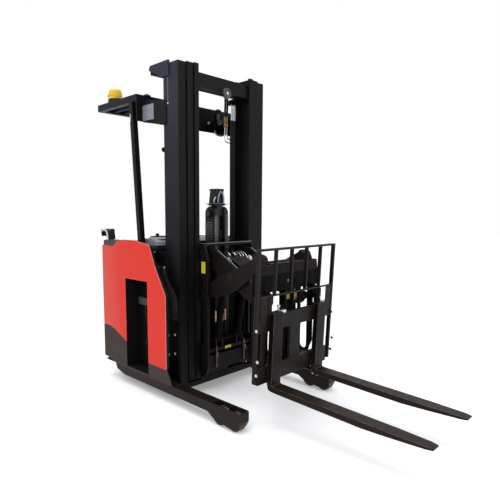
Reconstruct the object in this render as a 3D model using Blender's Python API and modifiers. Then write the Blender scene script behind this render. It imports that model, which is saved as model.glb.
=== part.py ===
"""Stand-on reach truck with a three-stage mast and a scissor reach carriage.

Metres, +Z up.  The forks point along +X and +Y is the truck's left side.  Lengths along X are
counted from the front face of the mast, and a root empty then centres the truck on its length.
"""
import math

import bmesh
import bpy
from mathutils import Matrix, Vector

LEFT, RIGHT = 1, -1
SIDES = ((LEFT, "left"), (RIGHT, "right"))

# Working clearances
GAP = 0.0003            # between pieces that are bolted or welded together
SLIDE = 0.0005          # between a roller or rod and what it runs in
RUN = 0.006             # between pieces that move past each other

# Straddle legs and their load wheels
HALF_WIDTH = 0.585      # outer face of a leg
LEG_WIDTH = 0.096
LEG_FRONT = 0.723
LEG_REAR = -0.79
LEG_TOP = 0.146
LEG_BOTTOM = 0.076
CHEEK = 0.014           # side plates that hold the load wheels
CHEEK_REAR = 0.44
CHEEK_BOTTOM = 0.022
LOAD_WHEEL_R = 0.0635
LOAD_WHEEL_X = (0.652, 0.512)
AXLE_R = 0.0125

# Body
BODY_REAR = -0.972
SKIRT_FRONT = 0.008
SIDE_PLATE = 0.012
PANEL = 0.030
PANEL_TOP = 1.251
PAD_NOTCH_Z = 1.147
PAD_HEIGHT = 0.096      # arm pad, above its notch
PAD_FRONT = -0.702
BAY_REAR = -0.611       # battery opening in the side panel
BAY_FRONT = -0.294
BAY_SILL = 0.163
BAY_TOP = 0.928
DECK_BOTTOM = 0.095
DECK_THICK = 0.014
DECK_TOP = LEG_TOP + DECK_THICK
WALL = 0.010            # cross walls of the chassis
FLOOR_TOP = 0.262
FLOOR_THICK = 0.022
TOP_Z = 1.170           # underside of the top cover
COVER_TOP = TOP_Z + 0.042
COVER_FRONT = BAY_FRONT + 0.012
BATTERY_GAP = 0.012

# Drive unit and caster
DRIVE_X, DRIVE_Y = -0.785, -(HALF_WIDTH - 0.260)
WELL_RIGHT = DRIVE_Y + 0.240    # right side of the standing well
DRIVE_WHEEL_R = 0.125
DRIVE_WHEEL_W = 0.080
CASTER_X, CASTER_Y = -0.800, HALF_WIDTH - 0.255
CASTER_R = 0.075
CASTER_W = 0.050
CASTER_TRAIL = 0.040

# Mast: channels open towards the truck's centre line, one inside the next
MAST_FOOT = 0.110
MAST_TOP = 2.600
WEB = 0.014
FLANGE = 0.020
# section: outer half width, inner half width, rear face, front face, foot, top
MAST_HALF = HALF_WIDTH - 0.107
MAST_SLACK = 0.008      # between one mast's web and the flanges that it runs inside
MAST_STEP = 0.008       # each mast stands this much further forward
OUTER_DEPTH, MIDDLE_DEPTH, INNER_DEPTH = 0.074, 0.059, 0.043
MIDDLE_HALF = MAST_HALF - OUTER_DEPTH - MAST_SLACK
INNER_HALF = MIDDLE_HALF - MIDDLE_DEPTH - MAST_SLACK
MAST_REAR, MAST_FRONT = -0.186, -0.012
OUTER = (MAST_HALF, MAST_HALF - OUTER_DEPTH, MAST_REAR, MAST_FRONT, MAST_FOOT, MAST_TOP - 0.010)
MIDDLE = (MIDDLE_HALF, MIDDLE_HALF - MIDDLE_DEPTH, MAST_REAR + MAST_STEP, MAST_FRONT + MAST_STEP,
          MAST_FOOT + 0.030, MAST_TOP - 0.004)
INNER = (INNER_HALF, INNER_HALF - INNER_DEPTH, MAST_REAR + 2 * MAST_STEP, MAST_FRONT + 2 * MAST_STEP,
         MAST_FOOT + 0.030, MAST_TOP)
ROLLER_HEIGHTS = (0.300, 1.050)
MAST_PLATE = 0.0105     # bolts the mast to the body
LIFT_TUBE_R = 0.026
LIFT_ROD_R = 0.017
LIFT_TUBE_X, LIFT_TUBE_Y = MAST_REAR - LIFT_TUBE_R - 0.004, MAST_HALF - 0.060
LIFT_TUBE_TOP = 2.340
ROD_BAR = (2.545, 2.575)  # bar on the middle mast that the lift rods carry
FREE_X = -0.100         # free-lift cylinder
FREE_TUBE_R = 0.045
FREE_ROD_R = 0.030
FREE_TUBE_TOP = 1.335
HEAD_TOP = 1.674
SHEAVE_R = 0.050
SHEAVE_Z = 1.470
CHAIN_Y = 0.055
CHAIN_W = 0.040
CHAIN_T = 0.010

# Scissor reach mechanism
ARM_HALF = 0.3367       # half the length between an arm's end pins
REST_ANGLE = math.radians(27.0)
FOLDED_ANGLE, STRETCHED_ANGLE = math.radians(77.0), math.radians(24.0)
REAR_PIN_X = 0.010
TOP_PIN_Z = 1.138
FRONT_PIN_X = REAR_PIN_X + 2 * ARM_HALF * math.cos(REST_ANGLE)
LOW_PIN_Z = TOP_PIN_Z - 2 * ARM_HALF * math.sin(REST_ANGLE)
MID_X = REAR_PIN_X + ARM_HALF * math.cos(REST_ANGLE)
MID_Z = TOP_PIN_Z - ARM_HALF * math.sin(REST_ANGLE)
ARM_PLATE = 0.032
ARM_SLACK = 0.008
TRACK_PLATE = 0.018
TRACK_Y = INNER[1] - RUN - TRACK_PLATE          # inner face of the plates that carry the arms
OUTER_ARM_Y = TRACK_Y - ARM_SLACK - ARM_PLATE   # inner face of an outer arm
INNER_ARM_Y = OUTER_ARM_Y - ARM_SLACK - ARM_PLATE
ARM_PIN_R = 0.028
ARM_ROLLER_R = 0.034
TRACK_LOW = TOP_PIN_Z - 2 * ARM_HALF * math.sin(FOLDED_ANGLE) - 0.041
TRACK_HIGH = TOP_PIN_Z - 2 * ARM_HALF * math.sin(STRETCHED_ANGLE) + 0.035
CROSS_SHAFT_S = ARM_HALF - 0.0767               # shaft between the outer arms, from the middle pin
# edges of an arm: share of its half length from the middle pin, and height above the line of its pins
OUTER_ARM_UPPER = ((-0.30, 0.052), (0.28, 0.040))
OUTER_ARM_LOWER = ((-0.33, -0.098), (0.08, -0.102), (0.60, -0.076))
INNER_ARM_UPPER = ((-0.80, 0.086), (0.0, 0.072), (0.60, 0.050))
INNER_ARM_LOWER = ((-0.35, -0.066), (0.80, -0.072))

# Carriage support frame, in the inner mast
SUPPORT_TOP = 1.235
SUPPORT_FOOT = TRACK_LOW - 0.096
SUPPORT_BEAM_TOP = SUPPORT_FOOT + 0.027
SUPPORT_REAR = -0.138
SUPPORT_FRONT = 0.090
SUPPORT_ROLLER_X = (INNER[2] + INNER[3]) / 2
SUPPORT_ROLLERS = (0.460, 1.120)

# Front frame and tilting fork carriage
FRAME_REAR = FRONT_PIN_X - 0.058
FRAME_FRONT = FRONT_PIN_X + 0.078
FRAME_FOOT = TRACK_LOW - 0.091
FRAME_BEAM_TOP = FRAME_FOOT + 0.050
FRAME_TOP = 1.190
BOX_HALF = TRACK_Y + 0.073
BOX_LOW, BOX_HIGH = 0.920, 1.120
TILT_X, TILT_Z = FRONT_PIN_X + 0.106, 0.880
TILT_PIN_R = 0.020
REST_TILT = math.radians(2.4)
BAR_REAR = TILT_X + 0.006
BAR_FRONT = BAR_REAR + 0.030
UPPER_BAR = (0.668, 0.776)
LOWER_BAR = (0.300, 0.420)
BACKREST_HALF = HALF_WIDTH - LEG_WIDTH - 0.039
BAR_HALF = BACKREST_HALF - 0.038
BACKREST_TOP = 1.240
BACKREST_MID = 0.920
BACKREST_FOOT = 0.318
BACKREST_BAR = 0.012
BACKREST_REAR = BAR_REAR + 0.0083
BACKREST_FRONT = BACKREST_REAR + 0.0297
BAR_PITCH = 2 * (BACKREST_HALF - 0.010) / 5

# Forks
FORK_Y = 0.262
FORK_WIDTH = 0.100
FORK_THICK = 0.040
FORK_TOP = 0.282
FORK_LENGTH = 1.148
FORK_TIP = BAR_FRONT + FORK_LENGTH
FORK_TIP_HALF = 0.030
FORK_TIP_THICK = 0.014
SHANK_TOP = 0.800

# Overhead guard
GUARD_REAR, GUARD_FRONT = -1.047, -0.448
GUARD_HALF = HALF_WIDTH - 0.037
GUARD_LOW, GUARD_HIGH = 2.358, 2.412
GUARD_RAIL = 0.045
HEADER_LOW, HEADER_HIGH = 2.205, 2.396
HEADER_PLATE = 0.010
POST_W = 0.044
POST_FOOT_X = {RIGHT: -0.436, LEFT: -0.330}
POST_HEAD_X = {RIGHT: -0.522, LEFT: -0.330}     # the right post leans back to the header
GUARD_PLATE_FRONT = -0.150
BEACON_X, BEACON_Y = -0.879, -(GUARD_HALF - 0.079)

COLLECTION = bpy.data.collections.new("reach_truck")


def clear_scene():
    """Removes the objects of the start-up scene."""
    for old in list(bpy.data.objects):
        bpy.data.objects.remove(old, do_unlink=True)


def beside(side, near, far):
    """Lower and upper Y of a stretch from near to far of the centre line, on one side of the truck."""
    return sorted((side * near, side * far))


def material(name, colour, roughness, metallic=0.0):
    """Principled material with one colour."""
    made = bpy.data.materials.new(name)
    made.use_nodes = True
    shader = made.node_tree.nodes["Principled BSDF"]
    shader.inputs["Base Color"].default_value = (*colour, 1.0)
    shader.inputs["Roughness"].default_value = roughness
    shader.inputs["Metallic"].default_value = metallic
    made.diffuse_color = (*colour, 1.0)
    return made


def mesh_object(bm):
    """Wraps a bmesh in a loose object whose faces point outwards."""
    bmesh.ops.recalc_face_normals(bm, faces=bm.faces)
    mesh = bpy.data.meshes.new("shape")
    bm.to_mesh(mesh)
    bm.free()
    made = bpy.data.objects.new("shape", mesh)
    bpy.context.scene.collection.objects.link(made)
    return made


def block(low, high):
    """Box between two corners."""
    bm = bmesh.new()
    bmesh.ops.create_cube(bm, size=1.0)
    low, high = Vector(low), Vector(high)
    size = high - low
    bmesh.ops.scale(bm, vec=size, verts=bm.verts)
    bmesh.ops.translate(bm, vec=low + size / 2, verts=bm.verts)
    return mesh_object(bm)


AXIS_TURN = {
    "X": Matrix(((0, 0, 1), (1, 0, 0), (0, 1, 0))).to_4x4(),
    "Y": Matrix(((1, 0, 0), (0, 0, -1), (0, 1, 0))).to_4x4(),
    "Z": Matrix.Identity(4),
}
AXIS_UNIT = {"X": Vector((1, 0, 0)), "Y": Vector((0, 1, 0)), "Z": Vector((0, 0, 1))}


def rounded(corners, steps=4):
    """Outline through corners (u, v, radius); each radius becomes an arc of the given steps."""
    points = []
    count = len(corners)
    for i, (u, v, radius) in enumerate(corners):
        here = Vector((u, v))
        if radius == 0:
            points.append(here)
            continue
        before = Vector(corners[i - 1][:2]) - here
        after = Vector(corners[(i + 1) % count][:2]) - here
        half = before.angle(after) / 2
        reach = radius / math.tan(half)
        centre = here + (before.normalized() + after.normalized()).normalized() * radius / math.sin(half)
        start = here + before.normalized() * reach - centre
        sweep = start.angle_signed(here + after.normalized() * reach - centre)
        for k in range(steps + 1):
            turn = Matrix.Rotation(-sweep * k / steps, 2)
            points.append(centre + turn @ start)
    return points


def circle(u, v, radius, steps=24):
    """Round outline, for a hole."""
    return [Vector((u + radius * math.cos(math.tau * k / steps),
                    v + radius * math.sin(math.tau * k / steps))) for k in range(steps)]


def prism(outline, axis, low, high, holes=()):
    """Flat outline with holes, extruded along an axis.  X takes (y, z), Y (x, z) and Z (x, y)."""
    curve = bpy.data.curves.new("outline", "CURVE")
    curve.dimensions = "2D"
    curve.fill_mode = "BOTH"
    curve.extrude = (high - low) / 2
    for loop in (outline, *holes):
        spline = curve.splines.new("POLY")
        spline.points.add(len(loop) - 1)
        for point, place in zip(spline.points, loop):
            point.co = (place[0], place[1], 0, 1)
        spline.use_cyclic_u = True
    guide = bpy.data.objects.new("outline", curve)
    bpy.context.scene.collection.objects.link(guide)
    bm = bmesh.new()
    bm.from_mesh(flatten(guide))
    bmesh.ops.remove_doubles(bm, verts=bm.verts, dist=0.00001)
    bmesh.ops.transform(bm, matrix=AXIS_TURN[axis], verts=bm.verts)
    bmesh.ops.translate(bm, vec=AXIS_UNIT[axis] * (low + high) / 2, verts=bm.verts)
    bpy.data.objects.remove(guide)
    return mesh_object(bm)


def flatten(shape):
    """Evaluated mesh of an object, its modifiers applied."""
    bpy.context.view_layer.update()
    graph = bpy.context.evaluated_depsgraph_get()
    return bpy.data.meshes.new_from_object(shape.evaluated_get(graph))


def rod(axis, centre, radius, low, high, steps=24, phase=0.3):
    """Cylinder along an axis; centre is the other two coordinates in X, Y, Z order.

    The phase turns its flats, in steps; 0 leaves a corner at the very bottom.
    """
    bm = bmesh.new()
    bmesh.ops.create_cone(bm, cap_ends=True, segments=steps, radius1=radius, radius2=radius,
                          depth=high - low, matrix=Matrix.Rotation(phase * math.tau / steps, 4, "Z"))
    bmesh.ops.transform(bm, matrix=AXIS_TURN[axis], verts=bm.verts)
    a, b = centre
    mid = (low + high) / 2
    place = {"X": (mid, a, b), "Y": (a, mid, b), "Z": (a, b, mid)}[axis]
    bmesh.ops.translate(bm, vec=Vector(place), verts=bm.verts)
    return mesh_object(bm)


def combine(operation, first, others):
    """Exact Boolean of the first shape with each of the others, which are used up."""
    for other in others:
        step = first.modifiers.new("join", "BOOLEAN")
        step.operation = operation
        step.object = other
        step.solver = "EXACT"
        joined = flatten(first)
        first.modifiers.clear()
        first.data = joined
        bpy.data.objects.remove(other)
    return first


def fuse(first, *others):
    """One solid from shapes that overlap."""
    return combine("UNION", first, others)


def cut(first, *others):
    """First shape less the others."""
    return combine("DIFFERENCE", first, others)


def ease(shape, width, steps=2, angle=40):
    """Rounds the edges sharper than an angle."""
    bevel = shape.modifiers.new("eased edges", "BEVEL")
    bevel.width = width
    bevel.segments = steps
    bevel.limit_method = "ANGLE"
    bevel.angle_limit = math.radians(angle)
    shape.data = flatten(shape)
    shape.modifiers.clear()
    return shape


def turn_about_y(shape, angle, centre):
    """Turns a shape about a line along Y through (x, z)."""
    place = Matrix.Translation((centre[0], 0, centre[1]))
    shape.data.transform(place @ Matrix.Rotation(angle, 4, "Y") @ place.inverted())
    return shape


def empty(name, place, parent=None):
    """Axis marker that moving pieces are parented to."""
    made = bpy.data.objects.new(name, None)
    COLLECTION.objects.link(made)
    made.empty_display_size = 0.05
    made.location = place
    made.parent = parent
    return made


def finish(shape, name, look, pivot=(0, 0, 0)):
    """Names a piece, gives it its material and puts its origin on its pivot."""
    shape.name = name
    shape.data.name = name
    shape.data.transform(Matrix.Translation(-Vector(pivot)))
    shape.location = pivot
    shape.parent = ROOT
    shape.data.materials.clear()
    shape.data.materials.append(look)
    shape.data.shade_smooth()
    shape.data.set_sharp_from_angle(angle=math.radians(35))
    bpy.context.scene.collection.objects.unlink(shape)
    COLLECTION.objects.link(shape)
    return shape


clear_scene()
bpy.context.scene.collection.children.link(COLLECTION)
ROOT = empty("truck_centre", (-(FORK_TIP - 0.027 + GUARD_REAR) / 2, 0, 0))

BLACK = material("black paint", (0.016, 0.016, 0.019), 0.42)
BROWN_BLACK = material("chassis paint", (0.045, 0.038, 0.033), 0.5)
RED = material("red paint", (0.83, 0.065, 0.045), 0.38)
SKIRT_GREY = material("skirt paint", (0.06, 0.051, 0.043), 0.55)
SILVER = material("console paint", (0.55, 0.57, 0.60), 0.4)
DARK_PLASTIC = material("dark plastic", (0.03, 0.03, 0.033), 0.6)
PAD_GREY = material("pad vinyl", (0.065, 0.067, 0.067), 0.7)
CHROME = material("chrome", (0.75, 0.75, 0.75), 0.12, 1.0)
STEEL = material("bare steel", (0.35, 0.35, 0.36), 0.4, 1.0)
TYRE_ORANGE = material("polyurethane", (0.28, 0.09, 0.03), 0.5)
YELLOW = material("beacon lens", (0.95, 0.62, 0.02), 0.25)


def leg(side):
    """Straddle leg: box beam that drops into two cheeks round the load wheels, with their axles."""
    inner, outer = HALF_WIDTH - LEG_WIDTH, HALF_WIDTH
    low, high = beside(side, inner, outer)
    profile = rounded((
        (LEG_REAR, LEG_TOP, 0), (LEG_REAR + 0.020, LEG_BOTTOM + 0.030, 0.02),
        (LEG_REAR + 0.080, LEG_BOTTOM + 0.012, 0.03), (LEG_REAR + 0.140, LEG_BOTTOM, 0.02),
        (CHEEK_REAR - 0.030, LEG_BOTTOM, 0.030), (CHEEK_REAR + 0.035, 0.040, 0.020),
        (LOAD_WHEEL_X[1], CHEEK_BOTTOM, 0.030),
        (LOAD_WHEEL_X[1] + 0.045, CHEEK_BOTTOM, 0.012),
        (LOAD_WHEEL_X[0] - 0.070, CHEEK_BOTTOM + 0.006, 0.010),
        (LOAD_WHEEL_X[0] - 0.045, CHEEK_BOTTOM, 0.012), (LEG_FRONT - 0.030, CHEEK_BOTTOM, 0.022),
        (LEG_FRONT - 0.004, 0.070, 0.015), (LEG_FRONT, 0.080, 0.006), (LEG_FRONT, LEG_TOP, 0.012),
    ))
    beam = prism(profile, "Y", low, high)
    slot = block((CHEEK_REAR + 0.004, min(side * (inner + CHEEK), side * (outer - CHEEK)), -0.01),
                 (LEG_FRONT - 0.006, max(side * (inner + CHEEK), side * (outer - CHEEK)), LEG_TOP + 0.01))
    beam = cut(beam, slot)
    for x in LOAD_WHEEL_X:
        beam = fuse(beam, rod("Y", (x, LOAD_WHEEL_R), AXLE_R, low + 0.004, high - 0.004))
    return beam


def load_wheel(side, x):
    """Polyurethane roller with a bore that turns on its axle."""
    inner = HALF_WIDTH - LEG_WIDTH + CHEEK + 0.002
    outer = HALF_WIDTH - CHEEK - 0.002
    low, high = beside(side, inner, outer)
    wheel = ease(rod("Y", (x, LOAD_WHEEL_R), LOAD_WHEEL_R, low, high, 32, 0), 0.004, 2)
    return cut(wheel, rod("Y", (x, LOAD_WHEEL_R), AXLE_R + SLIDE, low - 0.01, high + 0.01))


def chassis():
    """Welded chassis: deck, cross walls, front wall and the two side plates with their skirts."""
    inside = HALF_WIDTH - SIDE_PLATE
    shape = block((BODY_REAR + 0.02, -inside - 0.002, LEG_TOP + GAP), (-0.200, inside + 0.002, DECK_TOP))
    for x, wall_half in ((BAY_REAR - WALL, HALF_WIDTH - PANEL - GAP), (BAY_FRONT, OUTER[0] - 0.003 - GAP)):
        shape = fuse(shape, block((x, -wall_half, LEG_TOP + 0.005), (x + WALL, wall_half, TOP_Z - GAP)))
    wall = block((BAY_REAR - WALL, -inside - 0.002, LEG_TOP + 0.005), (BAY_REAR, inside + 0.002, 0.376))
    shape = fuse(shape, wall)
    skirt = rounded((
        (BODY_REAR, 0.182, 0.010), (BODY_REAR + 0.095, 0.178, 0.020),
        (LEG_REAR + 0.012, LEG_TOP + GAP, 0.010),
        (SKIRT_FRONT, LEG_TOP + GAP, 0), (-0.052, 0.257, 0.004), (BAY_FRONT, 0.263, 0),
        (BAY_FRONT, BAY_SILL, 0), (BAY_REAR, BAY_SILL, 0), (BAY_REAR, 0.381, 0.010),
        (-0.800, 0.460, 0.080), (-0.870, 0.476, 0.040), (BODY_REAR, 0.478, 0.008),
    ))
    for side, _ in SIDES:
        low, high = beside(side, inside, HALF_WIDTH)
        shape = fuse(shape, prism(skirt, "Y", low, high))
        low, high = beside(side, OUTER[0] + MAST_PLATE + 0.001, inside + 0.002)
        shape = fuse(shape, block((BAY_FRONT, low, LEG_TOP + 0.005), (BAY_FRONT + WALL, high, 0.255)))
    well = block((BODY_REAR + 0.015, WELL_RIGHT, 0.100), (BAY_REAR - 0.020, inside - 0.045, 0.200))
    opening = block((DRIVE_X - 0.165, DRIVE_Y - 0.165, 0.100), (DRIVE_X + 0.155, DRIVE_Y + 0.165, 0.200))
    return cut(shape, well, opening)


def side_panel(side):
    """Red side cover with its battery opening, arm-pad notch and raked front edge."""
    outline = rounded((
        (BODY_REAR, 0.4785, 0.008), (-0.870, 0.4765, 0.040), (-0.800, 0.4605, 0.080), (BAY_REAR, 0.3815, 0),
        (BAY_REAR, BAY_TOP, 0.004), (BAY_FRONT, BAY_TOP, 0.004), (BAY_FRONT, 0.2635, 0),
        (-0.060, 0.2575, 0.008), (-0.060, 0.840, 0.080), (-0.184, 1.050, 0.060),
        (-0.262, 1.222, 0.045), (-0.450, PANEL_TOP, 0.200), (-0.655, PANEL_TOP, 0.030),
        (PAD_FRONT - 0.010, PAD_NOTCH_Z + 0.079, 0.010), (-0.768, PAD_NOTCH_Z, 0.008),
        (BODY_REAR, PAD_NOTCH_Z, 0.006),
    ))
    low, high = beside(side, HALF_WIDTH - PANEL, HALF_WIDTH)
    return prism(outline, "Y", low, high)


def arm_pad(side):
    """Arm rest that fills the notch at the rear of a side panel."""
    outline = rounded((
        (BODY_REAR, PAD_NOTCH_Z + GAP, 0.006), (-0.770, PAD_NOTCH_Z + GAP, 0.006),
        (PAD_FRONT - 0.0115, PAD_NOTCH_Z + 0.080, 0.006),
        (PAD_FRONT - 0.026, PAD_NOTCH_Z + PAD_HEIGHT - 0.002, 0.010),
        (BODY_REAR, PAD_NOTCH_Z + PAD_HEIGHT, 0.012),
    ), 3)
    low, high = beside(side, HALF_WIDTH - 0.105, HALF_WIDTH - 0.002)
    return prism(outline, "Y", low, high)


def channel(section, side):
    """Rolled channel with its web outside and its flanges towards the centre line."""
    outer, inner, rear, front, foot, top = section
    outline = [(rear, side * outer), (front, side * outer), (front, side * inner),
               (front - FLANGE, side * inner), (front - FLANGE, side * (outer - WEB)),
               (rear + FLANGE, side * (outer - WEB)), (rear + FLANGE, side * inner), (rear, side * inner)]
    return prism(outline, "Z", foot, top)


def side_roller(x, z, radius, side, start, face, end):
    """Stub pin and roller that stand out of a plate at start and run between face and end."""
    low, high = beside(side, start, face + 0.004)
    pin = rod("Y", (x, z), radius * 0.4, low, high, 16)
    low, high = beside(side, face, end)
    return fuse(pin, rod("Y", (x, z), radius, low, high, 28))


def cross_bar(x0, x1, z0, z1, half):
    """Bar across the truck."""
    return block((x0, -half, z0), (x1, half, z1))


def mast_outer():
    """Fixed mast: two channels, foot bars, head bar and the plates that bolt it to the body."""
    shape = channel(OUTER, LEFT)
    shape = fuse(shape, channel(OUTER, RIGHT))
    rear = OUTER[2]
    foot_bar = cross_bar(rear - 0.088, rear + 0.004, DECK_TOP + 0.003, 0.250, OUTER[0] - 0.002)
    top_bar = cross_bar(-0.350, -0.312, 2.545, 2.604, OUTER[0] - 0.001)
    half = OUTER[0] - 0.008
    front_outline = [
        (-half, LEG_BOTTOM), (half, LEG_BOTTOM), (half, MAST_FOOT + 0.006), (TRACK_Y, MAST_FOOT + 0.006),
        (TRACK_Y - 0.004, MAST_FOOT + 0.025), (0.004 - TRACK_Y, MAST_FOOT + 0.025),
        (-TRACK_Y, MAST_FOOT + 0.006), (-half, MAST_FOOT + 0.006),
    ]
    front_bar = prism(front_outline, "X", OUTER[3] - 0.048, OUTER[3] - 0.004)
    shape = fuse(shape, foot_bar, top_bar, front_bar)
    ear = rounded(((-0.110, 2.6105, 0.006), (-0.342, 2.6105, 0.012), (-0.356, 2.577, 0.010),
                   (-0.193, 2.500, 0.010), (-0.110, 2.500, 0.006)))
    body_plate = rounded((
        (-0.345, DECK_TOP + GAP, 0.01), (-0.020, DECK_TOP + GAP, 0.01),
        (-0.020, TOP_Z - 0.390, 0.060), (-0.150, TOP_Z - 0.235, 0.070),
        (-0.160, TOP_Z - 0.160, 0.030), (-0.150, TOP_Z - GAP, 0.020), (-0.345, TOP_Z - GAP, 0.020),
    ))
    for side, _ in SIDES:
        web = side * OUTER[0]
        for outline, thick in ((ear, 0.012), (body_plate, MAST_PLATE)):
            low, high = sorted((web - side * 0.003, web + side * thick))
            shape = fuse(shape, prism(outline, "Y", low, high))
    return shape


def lift_cylinders():
    """Two lift cylinder tubes standing on the foot bar."""
    foot = 0.250 + GAP
    tubes = []
    for side, _ in SIDES:
        centre = (LIFT_TUBE_X, side * LIFT_TUBE_Y)
        tube = rod("Z", centre, LIFT_TUBE_R, foot, LIFT_TUBE_TOP)
        gland = rod("Z", centre, LIFT_TUBE_R + 0.003, LIFT_TUBE_TOP - 0.07, LIFT_TUBE_TOP - 0.01)
        bore = rod("Z", centre, LIFT_ROD_R + SLIDE, foot + 0.02, LIFT_TUBE_TOP + 0.02)
        tubes.append(cut(fuse(tube, gland), bore))
    link = cross_bar(LIFT_TUBE_X - 0.024, LIFT_TUBE_X + 0.024, foot + 0.0001, foot + 0.014, LIFT_TUBE_Y)
    return fuse(tubes[0], tubes[1], link)


def mast_middle():
    """First moving mast: channels, ties behind them and rollers in the outer channels."""
    outer, inner, rear, front, foot, top = MIDDLE
    shape = fuse(channel(MIDDLE, LEFT), channel(MIDDLE, RIGHT))
    tie_half = outer - 0.012
    for low, high in ((0.270, 0.370), (1.160, 1.240), (ROD_BAR[0] - 0.075, ROD_BAR[1] + 0.015)):
        shape = fuse(shape, cross_bar(rear - 0.036, rear + 0.004, low, high, tie_half))
    shape = fuse(shape, cross_bar(LIFT_TUBE_X - 0.030, OUTER[2] - RUN, *ROD_BAR, LIFT_TUBE_Y + 0.022))
    x = (OUTER[2] + OUTER[3]) / 2
    radius = (OUTER[3] - OUTER[2]) / 2 - FLANGE - SLIDE
    for side, _ in SIDES:
        for z in ROLLER_HEIGHTS:
            roller = side_roller(x, z, radius, side, outer - 0.005, OUTER[1] + 0.004, OUTER[0] - WEB - 0.004)
            shape = fuse(shape, roller)
    return shape


def lift_rods():
    """Rods of the lift cylinders, hung from the first moving mast."""
    low, high = 0.300, ROD_BAR[0] - GAP
    rods = [rod("Z", (LIFT_TUBE_X, side * LIFT_TUBE_Y), LIFT_ROD_R, low, high) for side, _ in SIDES]
    link = cross_bar(LIFT_TUBE_X - 0.014, LIFT_TUBE_X - 0.003, high - 0.020, high - 0.001, LIFT_TUBE_Y)
    return fuse(rods[0], rods[1], link)


def mast_inner():
    """Second moving mast: channels, foot and head bars and rollers in the middle channels."""
    outer, inner, rear, front, foot, top = INNER
    shape = fuse(channel(INNER, LEFT), channel(INNER, RIGHT))
    shape = fuse(shape, cross_bar(rear + 0.002, rear + 0.102, foot + 0.001, 0.176, outer - 0.004))
    shape = fuse(shape, cross_bar(-0.110, -0.018, 2.438, 2.545, outer - 0.004))
    x = (MIDDLE[2] + MIDDLE[3]) / 2
    radius = (MIDDLE[3] - MIDDLE[2]) / 2 - FLANGE - SLIDE
    for side, _ in SIDES:
        for z in ROLLER_HEIGHTS:
            roller = side_roller(x, z, radius, side, outer - 0.005, MIDDLE[1] + 0.004, MIDDLE[0] - WEB - 0.004)
            shape = fuse(shape, roller)
    return shape


def free_lift_cylinder():
    """Free-lift cylinder on the inner mast's foot bar."""
    centre = (FREE_X, 0)
    tube = rod("Z", centre, FREE_TUBE_R, 0.176 + GAP, FREE_TUBE_TOP)
    gland = rod("Z", centre, FREE_TUBE_R + 0.006, FREE_TUBE_TOP - 0.075, FREE_TUBE_TOP - 0.012)
    bore = rod("Z", centre, FREE_ROD_R + SLIDE, 0.220, FREE_TUBE_TOP + 0.02)
    return cut(fuse(tube, gland), bore)


def free_lift_ram():
    """Ram and crosshead with its two chain sheaves, their guards and the chains that run over them."""
    shape = rod("Z", (FREE_X, 0), FREE_ROD_R, 0.320, SHEAVE_Z)
    shoulder = SHEAVE_Z + SHEAVE_R + CHAIN_T + 0.002
    right = [(0.030, SHEAVE_Z - 0.020), (0.030, shoulder), (0.058, shoulder + 0.004), (0.058, SHEAVE_Z + 0.080),
             (0.042, HEAD_TOP - 0.014)]
    body = right + [(-y, z) for y, z in reversed(right)]
    shape = fuse(shape, prism(body, "X", FREE_X - 0.036, FREE_X + 0.036))
    for half_x, half_y, low, high in ((0.044, 0.066, SHEAVE_Z + 0.068, SHEAVE_Z + 0.076),
                                      (0.040, 0.046, HEAD_TOP - 0.016, HEAD_TOP)):
        shape = fuse(shape, block((FREE_X - half_x, -half_y, low), (FREE_X + half_x, half_y, high)))
    guard_y = CHAIN_Y + CHAIN_W / 2 + 0.004
    shape = fuse(shape, rod("Y", (FREE_X, SHEAVE_Z), 0.0145, -guard_y - 0.009, guard_y + 0.009, 20))
    rear, front, top = FREE_X - SHEAVE_R, FREE_X + SHEAVE_R, SHEAVE_Z + SHEAVE_R
    guard = rounded(((rear, 1.080, 0.01), (front, 1.080, 0.01), (front, top, 0.044), (rear, top, 0.044)), 6)
    for side, _ in SIDES:
        low, high = beside(side, CHAIN_Y - CHAIN_W / 2 - 0.002, CHAIN_Y + CHAIN_W / 2 + 0.002)
        shape = fuse(shape, rod("Y", (FREE_X, SHEAVE_Z), SHEAVE_R - 0.005, low, high, 28))
        shape = fuse(shape, chain_loop(side))
        low, high = beside(side, guard_y, guard_y + 0.006)
        shape = fuse(shape, prism(guard, "Y", low, high))
    return shape


def chain_loop(side):
    """Leaf chain over a sheave, down to where the lower lengths begin."""
    low, high = beside(side, CHAIN_Y - CHAIN_W / 2, CHAIN_Y + CHAIN_W / 2)
    outer, inner = SHEAVE_R + CHAIN_T, SHEAVE_R - 0.010
    angles = [math.pi * k / 14 for k in range(15)]
    over = [(FREE_X + outer * math.cos(angle), SHEAVE_Z + outer * math.sin(angle)) for angle in angles]
    under = [(FREE_X + inner * math.cos(angle), SHEAVE_Z + inner * math.sin(angle)) for angle in angles[::-1]]
    outline = [(FREE_X + outer, 0.960)] + over + [(FREE_X - outer, 1.000), (FREE_X - SHEAVE_R, 1.000)]
    outline += under + [(FREE_X + SHEAVE_R, 0.960)]
    return prism(outline, "Y", low, high)


def arm_outline(rear_radius, front_radius, upper, lower):
    """Scissor arm in its own frame: end pins at plus and minus its half length along X.
    The edges are given from rear to front as shares of the half length and heights."""
    points = []
    for k in range(9):
        angle = math.pi / 2 + math.pi * k / 8
        points.append((-ARM_HALF + rear_radius * math.cos(angle), rear_radius * math.sin(angle)))
    points += [(share * ARM_HALF, height) for share, height in lower]
    for k in range(9):
        angle = -math.pi / 2 + math.pi * k / 8
        points.append((ARM_HALF + front_radius * math.cos(angle), front_radius * math.sin(angle)))
    points += [(share * ARM_HALF, height) for share, height in reversed(upper)]
    return points


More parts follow.
